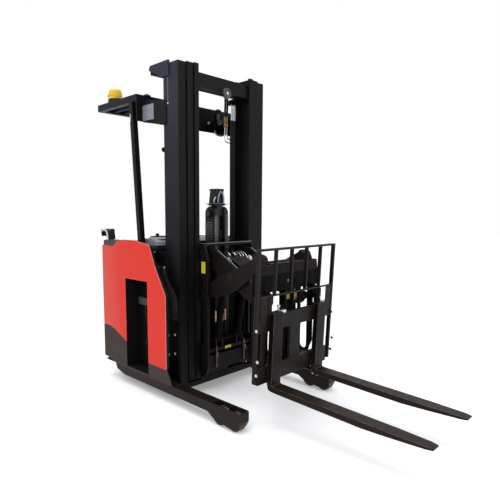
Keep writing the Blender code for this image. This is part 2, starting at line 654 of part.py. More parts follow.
def outer_arms():
    """Outer arms: rollers at the rear foot, pins at the front head and one shaft between the arms."""
    shape = None
    for side, _ in SIDES:
        low, high = beside(side, OUTER_ARM_Y, OUTER_ARM_Y + ARM_PLATE)
        plate = prism(arm_outline(0.046, 0.044, OUTER_ARM_UPPER, OUTER_ARM_LOWER), "Y", low, high)
        low, high = beside(side, INNER_ARM_Y + 0.001, OUTER_ARM_Y + ARM_PLATE + 0.001)
        plate = fuse(plate, rod("Y", (0, 0), ARM_PIN_R, low, high))
        low, high = beside(side, OUTER_ARM_Y + 0.01, TRACK_Y + TRACK_PLATE - 0.001)
        plate = fuse(plate, rod("Y", (-ARM_HALF, 0), ARM_ROLLER_R, low, high, 28))
        plate = fuse(plate, rod("Y", (ARM_HALF, 0), ARM_PIN_R, low, high))
        shape = plate if shape is None else fuse(shape, plate)
    shape = fuse(shape, rod("Y", (CROSS_SHAFT_S, 0), 0.018, -OUTER_ARM_Y - 0.01, OUTER_ARM_Y + 0.01))
    shape.data.transform(Matrix.Rotation(-REST_ANGLE, 4, "Y"))
    shape.data.transform(Matrix.Translation((MID_X, 0, MID_Z)))
    return shape


def inner_arms():
    """Inner arms: pins at the rear head, rollers at the front foot, a cross shaft and a torsion plate."""
    shape = None
    for side, _ in SIDES:
        low, high = beside(side, INNER_ARM_Y, INNER_ARM_Y + ARM_PLATE)
        outline = arm_outline(0.060, 0.056, INNER_ARM_UPPER, INNER_ARM_LOWER)
        plate = prism(outline, "Y", low, high, [circle(0, 0, ARM_PIN_R + SLIDE)])
        low, high = beside(side, INNER_ARM_Y + 0.01, TRACK_Y + TRACK_PLATE - 0.001)
        plate = fuse(plate, rod("Y", (-ARM_HALF, 0), ARM_PIN_R, low, high))
        plate = fuse(plate, rod("Y", (ARM_HALF, 0), 0.020, low, high))
        low, high = beside(side, TRACK_Y, TRACK_Y + TRACK_PLATE - 0.001)
        plate = fuse(plate, rod("Y", (ARM_HALF, 0), ARM_ROLLER_R, low, high, 28))
        shape = plate if shape is None else fuse(shape, plate)
    reach = INNER_ARM_Y + 0.01
    shape = fuse(shape, rod("Y", (RAM_EYE - ARM_HALF, 0), RAM_SHAFT_R, -reach, reach))
    shape = fuse(shape, block((-0.115, -INNER_ARM_Y - 0.002, 0.042), (0.045, INNER_ARM_Y + 0.002, 0.054)))
    shape.data.transform(Matrix.Rotation(REST_ANGLE, 4, "Y"))
    shape.data.transform(Matrix.Translation((MID_X, 0, MID_Z)))
    return shape


# Reach cylinders stand on the support frame and push the inner arms' cross shaft
RAM_EYE = 0.140         # from the rear pin along an inner arm
RAM_SHAFT_R = 0.022
RAM_FOOT_X, RAM_FOOT_Z = 0.030, SUPPORT_FOOT + 0.085
RAM_Y = INNER_ARM_Y - 0.062
RAM_TUBE_R = 0.026
RAM_ROD_R = 0.015
RAM_EYE_BORE = 0.044
RAM_X = REAR_PIN_X + RAM_EYE * math.cos(REST_ANGLE)
RAM_Z = TOP_PIN_Z - RAM_EYE * math.sin(REST_ANGLE)
RAM_LEAN = math.atan2(RAM_X - RAM_FOOT_X, RAM_Z - RAM_FOOT_Z)
RAM_LENGTH = math.hypot(RAM_X - RAM_FOOT_X, RAM_Z - RAM_FOOT_Z)
RAM_TUBE_LENGTH = RAM_LENGTH - 0.213


def reach_tubes():
    """Barrels of the two reach cylinders, on one foot shaft."""
    shape = rod("Y", (0, 0), 0.014, -RAM_Y - 0.035, RAM_Y + 0.035)
    for side, _ in SIDES:
        tube = rod("Z", (0, side * RAM_Y), RAM_TUBE_R, -0.012, RAM_TUBE_LENGTH)
        bore = rod("Z", (0, side * RAM_Y), RAM_ROD_R + SLIDE, 0.030, RAM_TUBE_LENGTH + 0.02)
        shape = fuse(shape, cut(tube, bore))
    place = Matrix.Translation((RAM_FOOT_X, 0, RAM_FOOT_Z))
    shape.data.transform(place @ Matrix.Rotation(RAM_LEAN, 4, "Y"))
    return shape


def reach_rods():
    """Rods of the reach cylinders; each eye is a ring round the arms' cross shaft."""
    shape = None
    for side, _ in SIDES:
        low, high = beside(side, RAM_Y - 0.016, RAM_Y + 0.016)
        ring = rod("Y", (0, RAM_LENGTH), RAM_EYE_BORE + 0.014, low, high, 28)
        stem = rod("Z", (0, side * RAM_Y), RAM_ROD_R, 0.200, RAM_LENGTH - RAM_EYE_BORE - 0.004)
        ring = fuse(ring, stem)
        ring = cut(ring, rod("Y", (0, RAM_LENGTH), RAM_EYE_BORE, low - 0.01, high + 0.01, 28))
        shape = ring if shape is None else fuse(shape, ring)
    link = block((-0.010, -RAM_Y, RAM_TUBE_LENGTH + 0.100), (0.010, RAM_Y, RAM_TUBE_LENGTH + 0.120))
    shape = fuse(shape, link)
    place = Matrix.Translation((RAM_FOOT_X, 0, RAM_FOOT_Z))
    shape.data.transform(place @ Matrix.Rotation(RAM_LEAN, 4, "Y"))
    return shape


def slot_outline(x, low, high, radius):
    """Upright slot with round ends."""
    points = []
    for k in range(9):
        angle = math.pi * k / 8
        points.append((x + radius * math.cos(angle), high + radius * math.sin(angle)))
    for k in range(9):
        angle = math.pi + math.pi * k / 8
        points.append((x + radius * math.cos(angle), low + radius * math.sin(angle)))
    return points


def reach_support():
    """Frame that rides in the inner mast and carries the rear ends of the scissor arms."""
    outline = rounded((
        (SUPPORT_REAR, SUPPORT_FOOT, 0.01), (0.012, SUPPORT_FOOT, 0), (0.012, SUPPORT_FOOT - 0.173, 0.004),
        (0.062, SUPPORT_FOOT - 0.173, 0.004), (SUPPORT_FRONT, SUPPORT_FOOT - 0.115, 0.01),
        (SUPPORT_FRONT, 1.090, 0.03), (0.052, SUPPORT_TOP, 0.02), (SUPPORT_REAR, SUPPORT_TOP, 0.01),
    ))
    slot = slot_outline(REAR_PIN_X, TRACK_LOW, TRACK_HIGH, ARM_ROLLER_R + SLIDE)
    hole = circle(REAR_PIN_X, TOP_PIN_Z, ARM_PIN_R + SLIDE)
    shape = None
    for side, _ in SIDES:
        low, high = beside(side, TRACK_Y, TRACK_Y + TRACK_PLATE)
        plate = prism(outline, "Y", low, high, [slot, hole])
        radius = (INNER[3] - INNER[2]) / 2 - FLANGE - SLIDE
        for z in SUPPORT_ROLLERS:
            plate = fuse(plate, side_roller(SUPPORT_ROLLER_X, z, radius, side, TRACK_Y + 0.004,
                                            INNER[1] + 0.003, INNER[0] - WEB - 0.003))
        shape = plate if shape is None else fuse(shape, plate)
    half = TRACK_Y + 0.004
    shape = fuse(shape, cross_bar(-0.010, 0.056, SUPPORT_TOP - 0.020, SUPPORT_TOP - 0.001, half))
    low, high = SUPPORT_FOOT - 0.170, SUPPORT_FOOT - 0.027
    foot = rounded((
        (-half, low, 0), (-0.030, low, 0.010), (0.0, low + 0.025, 0.010), (0.150, low + 0.025, 0.01),
        (half, low, 0), (half, high, 0), (-half, high, 0),
    ))
    shape = fuse(shape, prism(foot, "X", 0.014, 0.058))
    shape = fuse(shape, cross_bar(-0.046, 0.060, SUPPORT_FOOT + 0.003, SUPPORT_BEAM_TOP, half))
    for side, _ in SIDES:
        for y in (RAM_Y - 0.040, RAM_Y + 0.028):
            low, high = beside(side, y, y + 0.012)
            lug = prism(rounded(((0.0, SUPPORT_BEAM_TOP - 0.012, 0), (0.058, SUPPORT_BEAM_TOP - 0.012, 0),
                                 (0.055, RAM_FOOT_Z + 0.025, 0.02), (0.005, RAM_FOOT_Z + 0.025, 0.02))),
                        "Y", low, high, [circle(RAM_FOOT_X, RAM_FOOT_Z, 0.014 + SLIDE, 16)])
            shape = fuse(shape, lug)
    return shape


def lift_chains():
    """Lower lengths of the lift chains, on anchors in the support frame's foot bar."""
    x = FREE_X + SHEAVE_R + CHAIN_T + 0.003
    shape = cross_bar(x, x + 0.010, SUPPORT_BEAM_TOP + GAP, SUPPORT_BEAM_TOP + 0.028, CHAIN_Y + CHAIN_W / 2)
    for side, _ in SIDES:
        low, high = beside(side, CHAIN_Y - CHAIN_W / 2, CHAIN_Y + CHAIN_W / 2)
        shape = fuse(shape, block((x + 0.001, low, SUPPORT_BEAM_TOP + 0.002), (x + 0.009, high, 0.985)))
    return shape


TILT_TOWER_Y = 0.036    # inner face of the plates beside the tilt cylinder
TILT_ROD_Z = 0.500


def front_frame():
    """Frame at the front of the scissor: slotted plates, cross box, foot beam and the tilt tower."""
    outline = rounded((
        (FRAME_REAR, FRAME_FOOT, 0.01), (FRAME_FRONT - 0.045, FRAME_FOOT, 0.01),
        (FRAME_FRONT - 0.022, FRAME_FOOT + 0.080, 0.01), (FRAME_FRONT + 0.002, FRAME_FOOT + 0.130, 0.02),
        (FRAME_FRONT + 0.002, TILT_Z - 0.060, 0.01), (TILT_X + 0.022, TILT_Z - 0.030, 0.015),
        (TILT_X + 0.022, TILT_Z + 0.028, 0.015), (FRAME_FRONT - 0.003, BOX_LOW + 0.02, 0.01),
        (FRAME_FRONT - 0.003, BOX_HIGH - 0.014, 0.01), (FRONT_PIN_X + 0.040, FRAME_TOP, 0.03),
        (FRAME_REAR, FRAME_TOP, 0.03),
    ))
    slot = slot_outline(FRONT_PIN_X, TRACK_LOW, TRACK_HIGH, ARM_ROLLER_R + SLIDE)
    holes = [slot, circle(FRONT_PIN_X, TOP_PIN_Z, ARM_PIN_R + SLIDE),
             circle(TILT_X, TILT_Z, TILT_PIN_R + SLIDE, 16)]
    shape = None
    for side, _ in SIDES:
        low, high = beside(side, TRACK_Y, TRACK_Y + TRACK_PLATE)
        plate = prism(outline, "Y", low, high, holes)
        shape = plate if shape is None else fuse(shape, plate)
    box_rear = FRAME_FRONT - 0.048
    box = rounded(((box_rear, BOX_LOW, 0.004), (FRAME_FRONT + 0.002, BOX_LOW, 0.010),
                   (FRAME_FRONT + 0.002, 1.030, 0.015), (FRAME_FRONT - 0.008, BOX_HIGH, 0.010),
                   (box_rear, BOX_HIGH, 0.004)))
    beam = prism(box, "Y", -BOX_HALF, BOX_HALF)
    for side, _ in SIDES:
        low, high = beside(side, OUTER_ARM_Y - RUN, TRACK_Y + 0.003)
        pocket = block((box_rear - 0.01, low, BOX_LOW - 0.01), (FRAME_FRONT - 0.008, high, BOX_HIGH + 0.01))
        beam = cut(beam, pocket)
    shape = fuse(shape, beam)
    foot = block((FRAME_FRONT - 0.075, -TRACK_Y - 0.004, FRAME_FOOT + 0.006),
                 (FRAME_FRONT - 0.030, TRACK_Y + 0.004, FRAME_BEAM_TOP))
    shape = fuse(shape, foot)
    for side, _ in SIDES:
        low, high = beside(side, TILT_TOWER_Y, TILT_TOWER_Y + 0.019)
        tower = block((FRAME_FRONT - 0.066, low, FRAME_BEAM_TOP - 0.004),
                      (FRAME_FRONT - 0.010, high, BOX_LOW + 0.005))
        shape = fuse(shape, tower)
    return shape


def fork_carriage():
    """Two fork bars joined by uprights, with lugs on the tilt pins."""
    shape = cross_bar(BAR_REAR, BAR_FRONT, UPPER_BAR[0], UPPER_BAR[1], BAR_HALF)
    shape = fuse(shape, cross_bar(BAR_REAR, BAR_FRONT, LOWER_BAR[0], LOWER_BAR[1], BAR_HALF))
    near, far = BAR_HALF - 0.067, BAR_HALF - 0.027
    for low, high in ((-0.060, 0.060), (near, far), (-far, -near)):
        upright = block((BAR_REAR + 0.003, low, LOWER_BAR[0] + 0.02),
                        (BAR_FRONT - 0.006, high, UPPER_BAR[1] - 0.02))
        shape = fuse(shape, upright)
    lug = rounded(((TILT_X - 0.026, TILT_Z - 0.020, 0.02), (TILT_X - 0.010, UPPER_BAR[0] + 0.004, 0.01),
                   (BAR_FRONT - 0.004, UPPER_BAR[0] + 0.004, 0), (BAR_FRONT - 0.004, TILT_Z + 0.028, 0.02),
                   (TILT_X - 0.026, TILT_Z + 0.028, 0.02)))
    for side, _ in SIDES:
        face = TRACK_Y + TRACK_PLATE + 0.005
        low, high = beside(side, face, face + 0.018)
        shape = fuse(shape, prism(lug, "Y", low, high))
        low, high = beside(side, TRACK_Y + 0.002, face + 0.006)
        shape = fuse(shape, rod("Y", (TILT_X, TILT_Z), TILT_PIN_R, low, high, 16))
    return shape


def load_backrest():
    """Welded backrest of flat bars; its outer bars run down beside the fork bars."""
    rear, front = BACKREST_REAR, BACKREST_FRONT
    top = cross_bar(rear, front, BACKREST_TOP - 0.014, BACKREST_TOP, BACKREST_HALF)
    middle = cross_bar(rear + 0.010, front - 0.002, BACKREST_MID - 0.010, BACKREST_MID, BACKREST_HALF - 0.004)
    shape = fuse(top, middle)
    for i in range(6):
        y = -BACKREST_HALF + 0.010 + i * BAR_PITCH
        outermost = i in (0, 5)
        foot = BACKREST_FOOT if outermost else BACKREST_MID - 0.004
        width = 0.018 if outermost else BACKREST_BAR
        bar = block((rear + 0.001, y - width / 2, foot), (front - 0.001, y + width / 2, BACKREST_TOP - 0.002))
        shape = fuse(shape, bar)
    for side, _ in SIDES:
        low, high = beside(side, BAR_HALF + GAP, BACKREST_HALF - 0.005)
        side_plate = block((rear - 0.008, low, UPPER_BAR[0]), (front - 0.006, high, BACKREST_MID - 0.005))
        shape = fuse(shape, side_plate)
        low, high = beside(side, BAR_HALF - 0.058, BAR_HALF + 0.004)
        bracket = block((BAR_FRONT + GAP, low, UPPER_BAR[0] + 0.062), (front, high, BACKREST_MID - 0.004))
        shape = fuse(shape, bracket)
    return shape


def fork(side):
    """Forged fork: shank with top hook, round heel and a blade that tapers to its tip."""
    face = BAR_FRONT + GAP
    front = face + FORK_THICK
    bottom = FORK_TOP - FORK_THICK
    outline = rounded((
        (face, SHANK_TOP, 0.004), (face, bottom + 0.050, 0), (face + 0.012, bottom + 0.006, 0.020),
        (face + 0.055, bottom, 0.020), (FORK_TIP - 0.420, bottom, 0.05),
        (FORK_TIP - 0.010, FORK_TOP - FORK_TIP_THICK, 0.004),
        (FORK_TIP, FORK_TOP, 0.002), (front, FORK_TOP, 0.014), (front, SHANK_TOP, 0.006),
    ))
    y = side * FORK_Y
    blade = prism(outline, "Y", y - FORK_WIDTH / 2, y + FORK_WIDTH / 2)
    half = FORK_WIDTH / 2
    tip = rounded((
        (face - 0.01, y - half - 0.01, 0), (FORK_TIP - 0.260, y - half - 0.01, 0),
        (FORK_TIP - 0.260, y - half, 0), (FORK_TIP - 0.050, y - half + 0.008, 0.05),
        (FORK_TIP, y - FORK_TIP_HALF, 0.022), (FORK_TIP, y + FORK_TIP_HALF, 0.022),
        (FORK_TIP - 0.050, y + half - 0.008, 0.05), (FORK_TIP - 0.260, y + half, 0),
        (FORK_TIP - 0.260, y + half + 0.01, 0), (face - 0.01, y + half + 0.01, 0),
    ))
    mask = prism(tip, "Z", bottom - 0.02, SHANK_TOP + 0.02)
    blade = combine("INTERSECT", blade, [mask])
    hook = rounded(((BAR_REAR + 0.006, UPPER_BAR[1] + GAP, 0), (face + 0.004, UPPER_BAR[1] + GAP, 0),
                    (face + 0.004, SHANK_TOP - 0.001, 0), (BAR_REAR + 0.006, SHANK_TOP - 0.001, 0.006)))
    low, high = beside(side, FORK_Y - 0.042, FORK_Y + 0.018)
    return fuse(blade, prism(hook, "Y", low, high))


def tilt_cylinder():
    """Short tilt cylinder on the front frame's foot beam."""
    tube = rod("X", (0.0, TILT_ROD_Z), 0.030, FRAME_REAR - 0.010, FRAME_FRONT - 0.040)
    lug = block((FRAME_FRONT - 0.068, -0.026, FRAME_BEAM_TOP + GAP),
                (FRAME_FRONT - 0.044, 0.026, TILT_ROD_Z - 0.015))
    bore = rod("X", (0.0, TILT_ROD_Z), 0.0155, FRAME_REAR + 0.020, FRAME_FRONT)
    return cut(fuse(tube, lug), bore)


def overhead_guard():
    """Guard roof of bars in a rail frame, header plate and the plates bolted to the mast."""
    ring = rounded(((GUARD_REAR, -GUARD_HALF, 0.012), (GUARD_FRONT, -GUARD_HALF, 0.006),
                    (GUARD_FRONT, GUARD_HALF, 0.006), (GUARD_REAR, GUARD_HALF, 0.012)))
    rear, front, half = GUARD_REAR + GUARD_RAIL, GUARD_FRONT - GUARD_RAIL, GUARD_HALF - GUARD_RAIL
    inside = [(rear, -half), (front, -half), (front, half), (rear, half)]
    shape = prism(ring, "Z", GUARD_LOW, GUARD_HIGH, [inside])
    bars = 9
    pitch = 2 * (GUARD_HALF - GUARD_RAIL) / (bars + 1)
    for i in range(bars):
        y = -GUARD_HALF + GUARD_RAIL + (i + 1) * pitch
        shape = fuse(shape, block((GUARD_REAR + GUARD_RAIL - 0.004, y - 0.008, GUARD_LOW + 0.008),
                                  (GUARD_FRONT - GUARD_RAIL + 0.004, y + 0.008, GUARD_HIGH - 0.006)))
    header = rounded(((-GUARD_HALF + 0.002, HEADER_LOW, 0.015), (GUARD_HALF - 0.002, HEADER_LOW, 0.015),
                      (GUARD_HALF - 0.002, HEADER_HIGH, 0.006), (-GUARD_HALF + 0.002, HEADER_HIGH, 0.006)))
    shape = fuse(shape, prism(header, "X", GUARD_FRONT - HEADER_PLATE, GUARD_FRONT + 0.001))
    plate = rounded((
        (GUARD_FRONT - 0.004, HEADER_LOW - 0.005, 0.01), (GUARD_PLATE_FRONT, HEADER_LOW - 0.065, 0.02),
        (GUARD_PLATE_FRONT, HEADER_HIGH - 0.072, 0.02), (GUARD_FRONT - 0.004, HEADER_HIGH - 0.022, 0.01),
    ))
    for side, _ in SIDES:
        low, high = beside(side, OUTER[0] + 0.0003, OUTER[0] + 0.0103)
        shape = fuse(shape, prism(plate, "Y", low, high))
    return shape


def guard_post(side):
    """Square post from the side panel's inner face up to the guard."""
    foot_x, head_x = POST_FOOT_X[side], POST_HEAD_X[side]
    y = side * (HALF_WIDTH - PANEL - GAP - POST_W / 2)
    half = POST_W / 2
    low_z, high_z = 1.000, GUARD_LOW - GAP
    slope = (head_x - foot_x) / (high_z - PANEL_TOP)
    drop = foot_x - slope * (PANEL_TOP - low_z)
    outline = [(drop - half, low_z), (drop + half, low_z), (head_x + half, high_z), (head_x - half, high_z)]
    return prism(outline, "Y", y - half, y + half)


def beacon():
    """Warning beacon: base and domed lens."""
    lens = rod("Z", (BEACON_X, BEACON_Y), 0.055, GUARD_HIGH + 0.022, GUARD_HIGH + 0.118, 28)
    lens = ease(lens, 0.016, 3)
    base = rod("Z", (BEACON_X, BEACON_Y), 0.060, GUARD_HIGH + GAP, GUARD_HIGH + 0.026, 28)
    return fuse(lens, base)


def top_cover():
    """Cover over the battery and power bays."""
    half = HALF_WIDTH - PANEL - GAP
    outline = rounded((
        (BAY_REAR - 0.020, TOP_Z, 0.008), (COVER_FRONT, TOP_Z, 0.004), (COVER_FRONT, COVER_TOP - 0.017, 0.010),
        (COVER_FRONT - 0.028, COVER_TOP, 0.02), (BAY_REAR - 0.020, COVER_TOP, 0.012),
    ))
    shape = prism(outline, "Y", -half, half)
    cuts = []
    for side, _ in SIDES:
        foot_x = POST_FOOT_X[side]
        y = side * (half - POST_W / 2)
        cuts.append(block((foot_x - 0.055, y - POST_W / 2 - 0.003, TOP_Z - 0.07),
                          (foot_x + 0.040, y + POST_W / 2 + 0.003, COVER_TOP + 0.09)))
    return cut(shape, *cuts)


POD_RIGHT = -(HALF_WIDTH - 0.105)
POD_LENGTH = 0.640
POD_HEIGHT = 0.050


def console():
    """Silver console pod on the top cover."""
    rear, front = BAY_REAR + 0.041, BAY_FRONT + 0.007
    low, high = COVER_TOP + GAP, COVER_TOP + POD_HEIGHT
    outline = rounded(((rear, low, 0.0), (front, low, 0.0), (front - 0.009, high - 0.022, 0.010),
                       (front - 0.063, high, 0.02), (rear + 0.040, high, 0.02)))
    return ease(prism(outline, "Y", POD_RIGHT, POD_RIGHT + POD_LENGTH), 0.006, 2)


STEER_X, STEER_Y, STEER_Z = -0.420, POD_RIGHT + 0.150, COVER_TOP + POD_HEIGHT


def steering_wheel():
    """Small steering disc with a spinner knob."""
    shape = rod("Z", (STEER_X, STEER_Y), 0.105, STEER_Z + 0.022, STEER_Z + 0.040, 32)
    shape = ease(shape, 0.005, 2)
    shape = fuse(shape, rod("Z", (STEER_X, STEER_Y), 0.030, STEER_Z + GAP, STEER_Z + 0.026))
    knob = rod("Z", (STEER_X - 0.075, STEER_Y), 0.017, STEER_Z + 0.038, STEER_Z + 0.074, 16)
    return fuse(shape, knob)


def control_handle():
    """Two-bladed control grip standing on the right arm pad."""
    y = -HALF_WIDTH + 0.055
    x, low = BODY_REAR + 0.067, PAD_NOTCH_Z + PAD_HEIGHT
    shape = rod("Z", (x, y), 0.030, low + GAP, low + 0.019, 20)
    for offset, x_tip in ((-0.022, x - 0.063), (0.022, x - 0.020)):
        blade = rounded((
            (x - 0.025, low + 0.012, 0), (x + 0.020, low + 0.012, 0), (x + 0.010, low + 0.057, 0.03),
            (x_tip + 0.035, low + 0.092, 0.02), (x_tip, low + 0.092, 0.004), (x_tip + 0.020, low + 0.062, 0.02),
        ))
        shape = fuse(shape, prism(blade, "Y", y + offset - 0.009, y + offset + 0.009))
    return shape


def rear_cover():
    """Closed right part of the rear wall over the drive unit, with its top."""
    half = HALF_WIDTH - PANEL - GAP
    high = PAD_NOTCH_Z - 0.007
    wall = block((BODY_REAR + 0.002, -half, 0.190), (BODY_REAR + 0.030, WELL_RIGHT, high))
    front = BAY_REAR - WALL - GAP
    side = block((BODY_REAR + 0.020, WELL_RIGHT - 0.022, 0.190), (front, WELL_RIGHT, high - 0.002))
    top = block((BODY_REAR + 0.010, -half + 0.002, high - 0.028), (front, WELL_RIGHT - 0.002, high - 0.0015))
    shape = fuse(wall, side, top)
    return shape


def operator_floor():
    """Floor of the standing well with its kick edge."""
    half = HALF_WIDTH - PANEL - GAP
    return block((BODY_REAR + 0.004, WELL_RIGHT + GAP, FLOOR_TOP - FLOOR_THICK),
                 (BAY_REAR - WALL - GAP, half, FLOOR_TOP))


def back_pad():
    """Lean pad on the drive cover's side towards the well."""
    low = WELL_RIGHT + GAP
    return ease(block((BODY_REAR + 0.040, low, 0.780), (BAY_REAR - 0.060, low + 0.045, 1.110)), 0.014, 3)


def battery():
    """Battery tray as one block in its bay."""
    half = OUTER[0] - 0.008
    return block((BAY_REAR + BATTERY_GAP, -half, LEG_TOP + DECK_THICK + GAP),
                 (BAY_FRONT - BATTERY_GAP, half, BAY_TOP - 0.060))


def drive_unit():
    """Steered gearbox with its motor, hung from the turntable plate."""
    centre = (DRIVE_X, DRIVE_Y)
    shape = rod("Z", centre, 0.140, 0.300, 0.330, 32)
    shape = fuse(shape, rod("Z", centre, 0.085, 0.320, 0.620, 28))
    shape = fuse(shape, rod("Z", centre, 0.050, 0.250, 0.310, 20))
    face = DRIVE_WHEEL_W / 2 + 0.006
    box = rounded((
        (DRIVE_X - 0.060, 0.305, 0), (DRIVE_X + 0.060, 0.305, 0), (DRIVE_X + 0.075, DRIVE_WHEEL_R, 0.06),
        (DRIVE_X + 0.020, 0.055, 0.03), (DRIVE_X - 0.020, 0.055, 0.03), (DRIVE_X - 0.075, DRIVE_WHEEL_R, 0.06),
    ))
    shape = fuse(shape, prism(box, "Y", DRIVE_Y + face, DRIVE_Y + face + 0.045))
    shape = fuse(shape, rod("Y", (DRIVE_X, DRIVE_WHEEL_R), 0.030, DRIVE_Y - 0.034, DRIVE_Y + face + 0.01, 20))
    return shape


def drive_wheel():
    """Drive tyre with its hub."""
    low, high = DRIVE_Y - DRIVE_WHEEL_W / 2, DRIVE_Y + DRIVE_WHEEL_W / 2
    wheel = ease(rod("Y", (DRIVE_X, DRIVE_WHEEL_R), DRIVE_WHEEL_R, low, high, 40, 0), 0.006, 2)
    return cut(wheel, rod("Y", (DRIVE_X, DRIVE_WHEEL_R), 0.030 + SLIDE, low - 0.01, high + 0.01, 20))


def drive_plate():
    """Turntable plate that carries the drive unit inside the chassis."""
    low = (DRIVE_X - 0.155, DRIVE_Y - 0.165, 0.3303)
    high = (BAY_REAR - WALL - GAP, DRIVE_Y + 0.165, 0.350)
    return cut(block(low, high), rod("Z", (DRIVE_X, DRIVE_Y), 0.0853 + SLIDE, 0.30, 0.40, 28))


def caster_yoke():
    """Swivel caster fork under the operator's floor."""
    x = CASTER_X
    wheel_x = CASTER_X - CASTER_TRAIL
    shape = rod("Z", (x, CASTER_Y), 0.048, 0.178, FLOOR_TOP - FLOOR_THICK - GAP, 24)
    crown = block((wheel_x - 0.030, CASTER_Y - 0.043, 0.160), (x + 0.045, CASTER_Y + 0.043, 0.182))
    shape = fuse(shape, crown)
    cheek = rounded((
        (wheel_x - 0.026, 0.170, 0), (x + 0.040, 0.170, 0), (wheel_x + 0.026, CASTER_R - 0.010, 0.01),
        (wheel_x + 0.012, CASTER_R - 0.024, 0.01), (wheel_x - 0.026, CASTER_R - 0.020, 0.02),
    ))
    inner, outer = CASTER_W / 2 + 0.004, CASTER_W / 2 + 0.014
    for side in (LEFT, RIGHT):
        low, high = sorted((CASTER_Y + side * inner, CASTER_Y + side * outer))
        shape = fuse(shape, prism(cheek, "Y", low, high))
    axle = rod("Y", (wheel_x, CASTER_R), 0.010, CASTER_Y - outer + 0.002, CASTER_Y + outer - 0.002, 16)
    return fuse(shape, axle)


def caster_wheel():
    """Caster wheel with a bore."""
    wheel_x = CASTER_X - CASTER_TRAIL
    low, high = CASTER_Y - CASTER_W / 2, CASTER_Y + CASTER_W / 2
    wheel = ease(rod("Y", (wheel_x, CASTER_R), CASTER_R, low, high, 32, 0), 0.005, 2)
    return cut(wheel, rod("Y", (wheel_x, CASTER_R), 0.010 + SLIDE, low - 0.01, high + 0.01, 16))


def tilted(shape):
    """Carriage piece turned to the forks' rest angle about the tilt pins."""
    return turn_about_y(shape, REST_TILT, (TILT_X, TILT_Z))


for hand, word in SIDES:
    finish(leg(hand), "leg_" + word, BROWN_BLACK)
    for place, wheel_x in zip(("front", "rear"), LOAD_WHEEL_X):
        centre_y = hand * (HALF_WIDTH - LEG_WIDTH / 2)
        finish(load_wheel(hand, wheel_x), "load_wheel_" + word + "_" + place, TYRE_ORANGE,
               (wheel_x, centre_y, LOAD_WHEEL_R))
    finish(side_panel(hand), "side_panel_" + word, RED)
    finish(arm_pad(hand), "arm_pad_" + word, PAD_GREY)
    finish(tilted(fork(hand)), "fork_" + word, BROWN_BLACK, (TILT_X, 0, TILT_Z))
    finish(guard_post(hand), "guard_post_" + word, BLACK)

finish(chassis(), "chassis", SKIRT_GREY)
finish(battery(), "battery", DARK_PLASTIC)
finish(top_cover(), "top_cover", DARK_PLASTIC)
finish(console(), "console", SILVER)
finish(steering_wheel(), "steering_wheel", DARK_PLASTIC, (STEER_X, STEER_Y, STEER_Z))
finish(control_handle(), "control_handle", DARK_PLASTIC)
finish(rear_cover(), "rear_cover", SKIRT_GREY)
finish(operator_floor(), "operator_floor", DARK_PLASTIC)
finish(back_pad(), "back_pad", PAD_GREY)
finish(drive_plate(), "drive_plate", BROWN_BLACK)
finish(drive_unit(), "drive_unit", DARK_PLASTIC, (DRIVE_X, DRIVE_Y, DRIVE_WHEEL_R))
finish(drive_wheel(), "drive_wheel", TYRE_ORANGE, (DRIVE_X, DRIVE_Y, DRIVE_WHEEL_R))
finish(caster_yoke(), "caster_yoke", DARK_PLASTIC, (CASTER_X, CASTER_Y, CASTER_R))
finish(caster_wheel(), "caster_wheel", TYRE_ORANGE, (CASTER_X - CASTER_TRAIL, CASTER_Y, CASTER_R))
finish(overhead_guard(), "overhead_guard", BLACK)
finish(beacon(), "beacon", YELLOW)
finish(mast_outer(), "mast_outer", BLACK)
finish(lift_cylinders(), "lift_cylinders", BLACK)
finish(mast_middle(), "mast_middle", BLACK)
finish(lift_rods(), "lift_rods", CHROME)
finish(mast_inner(), "mast_inner", BLACK)
finish(free_lift_cylinder(), "free_lift_cylinder", BLACK)
finish(free_lift_ram(), "free_lift_ram", STEEL)
finish(reach_support(), "reach_support", BROWN_BLACK)
finish(lift_chains(), "lift_chains", STEEL)
finish(outer_arms(), "outer_arms", BROWN_BLACK, (MID_X, 0, MID_Z))
finish(inner_arms(), "inner_arms", BROWN_BLACK, (REAR_PIN_X, 0, TOP_PIN_Z))
finish(reach_tubes(), "reach_tubes", BLACK, (RAM_FOOT_X, 0, RAM_FOOT_Z))
finish(reach_rods(), "reach_rods", CHROME, (RAM_FOOT_X, 0, RAM_FOOT_Z))
finish(front_frame(), "front_frame", BROWN_BLACK, (FRONT_PIN_X, 0, TOP_PIN_Z))
finish(tilt_cylinder(), "tilt_cylinder", BLACK)
finish(tilted(fork_carriage()), "fork_carriage", BROWN_BLACK, (TILT_X, 0, TILT_Z))
finish(tilted(load_backrest()), "load_backrest", BROWN_BLACK, (TILT_X, 0, TILT_Z))
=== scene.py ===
import math

import bmesh
import bpy
from mathutils import Matrix, Vector
from mathutils.bvhtree import BVHTree


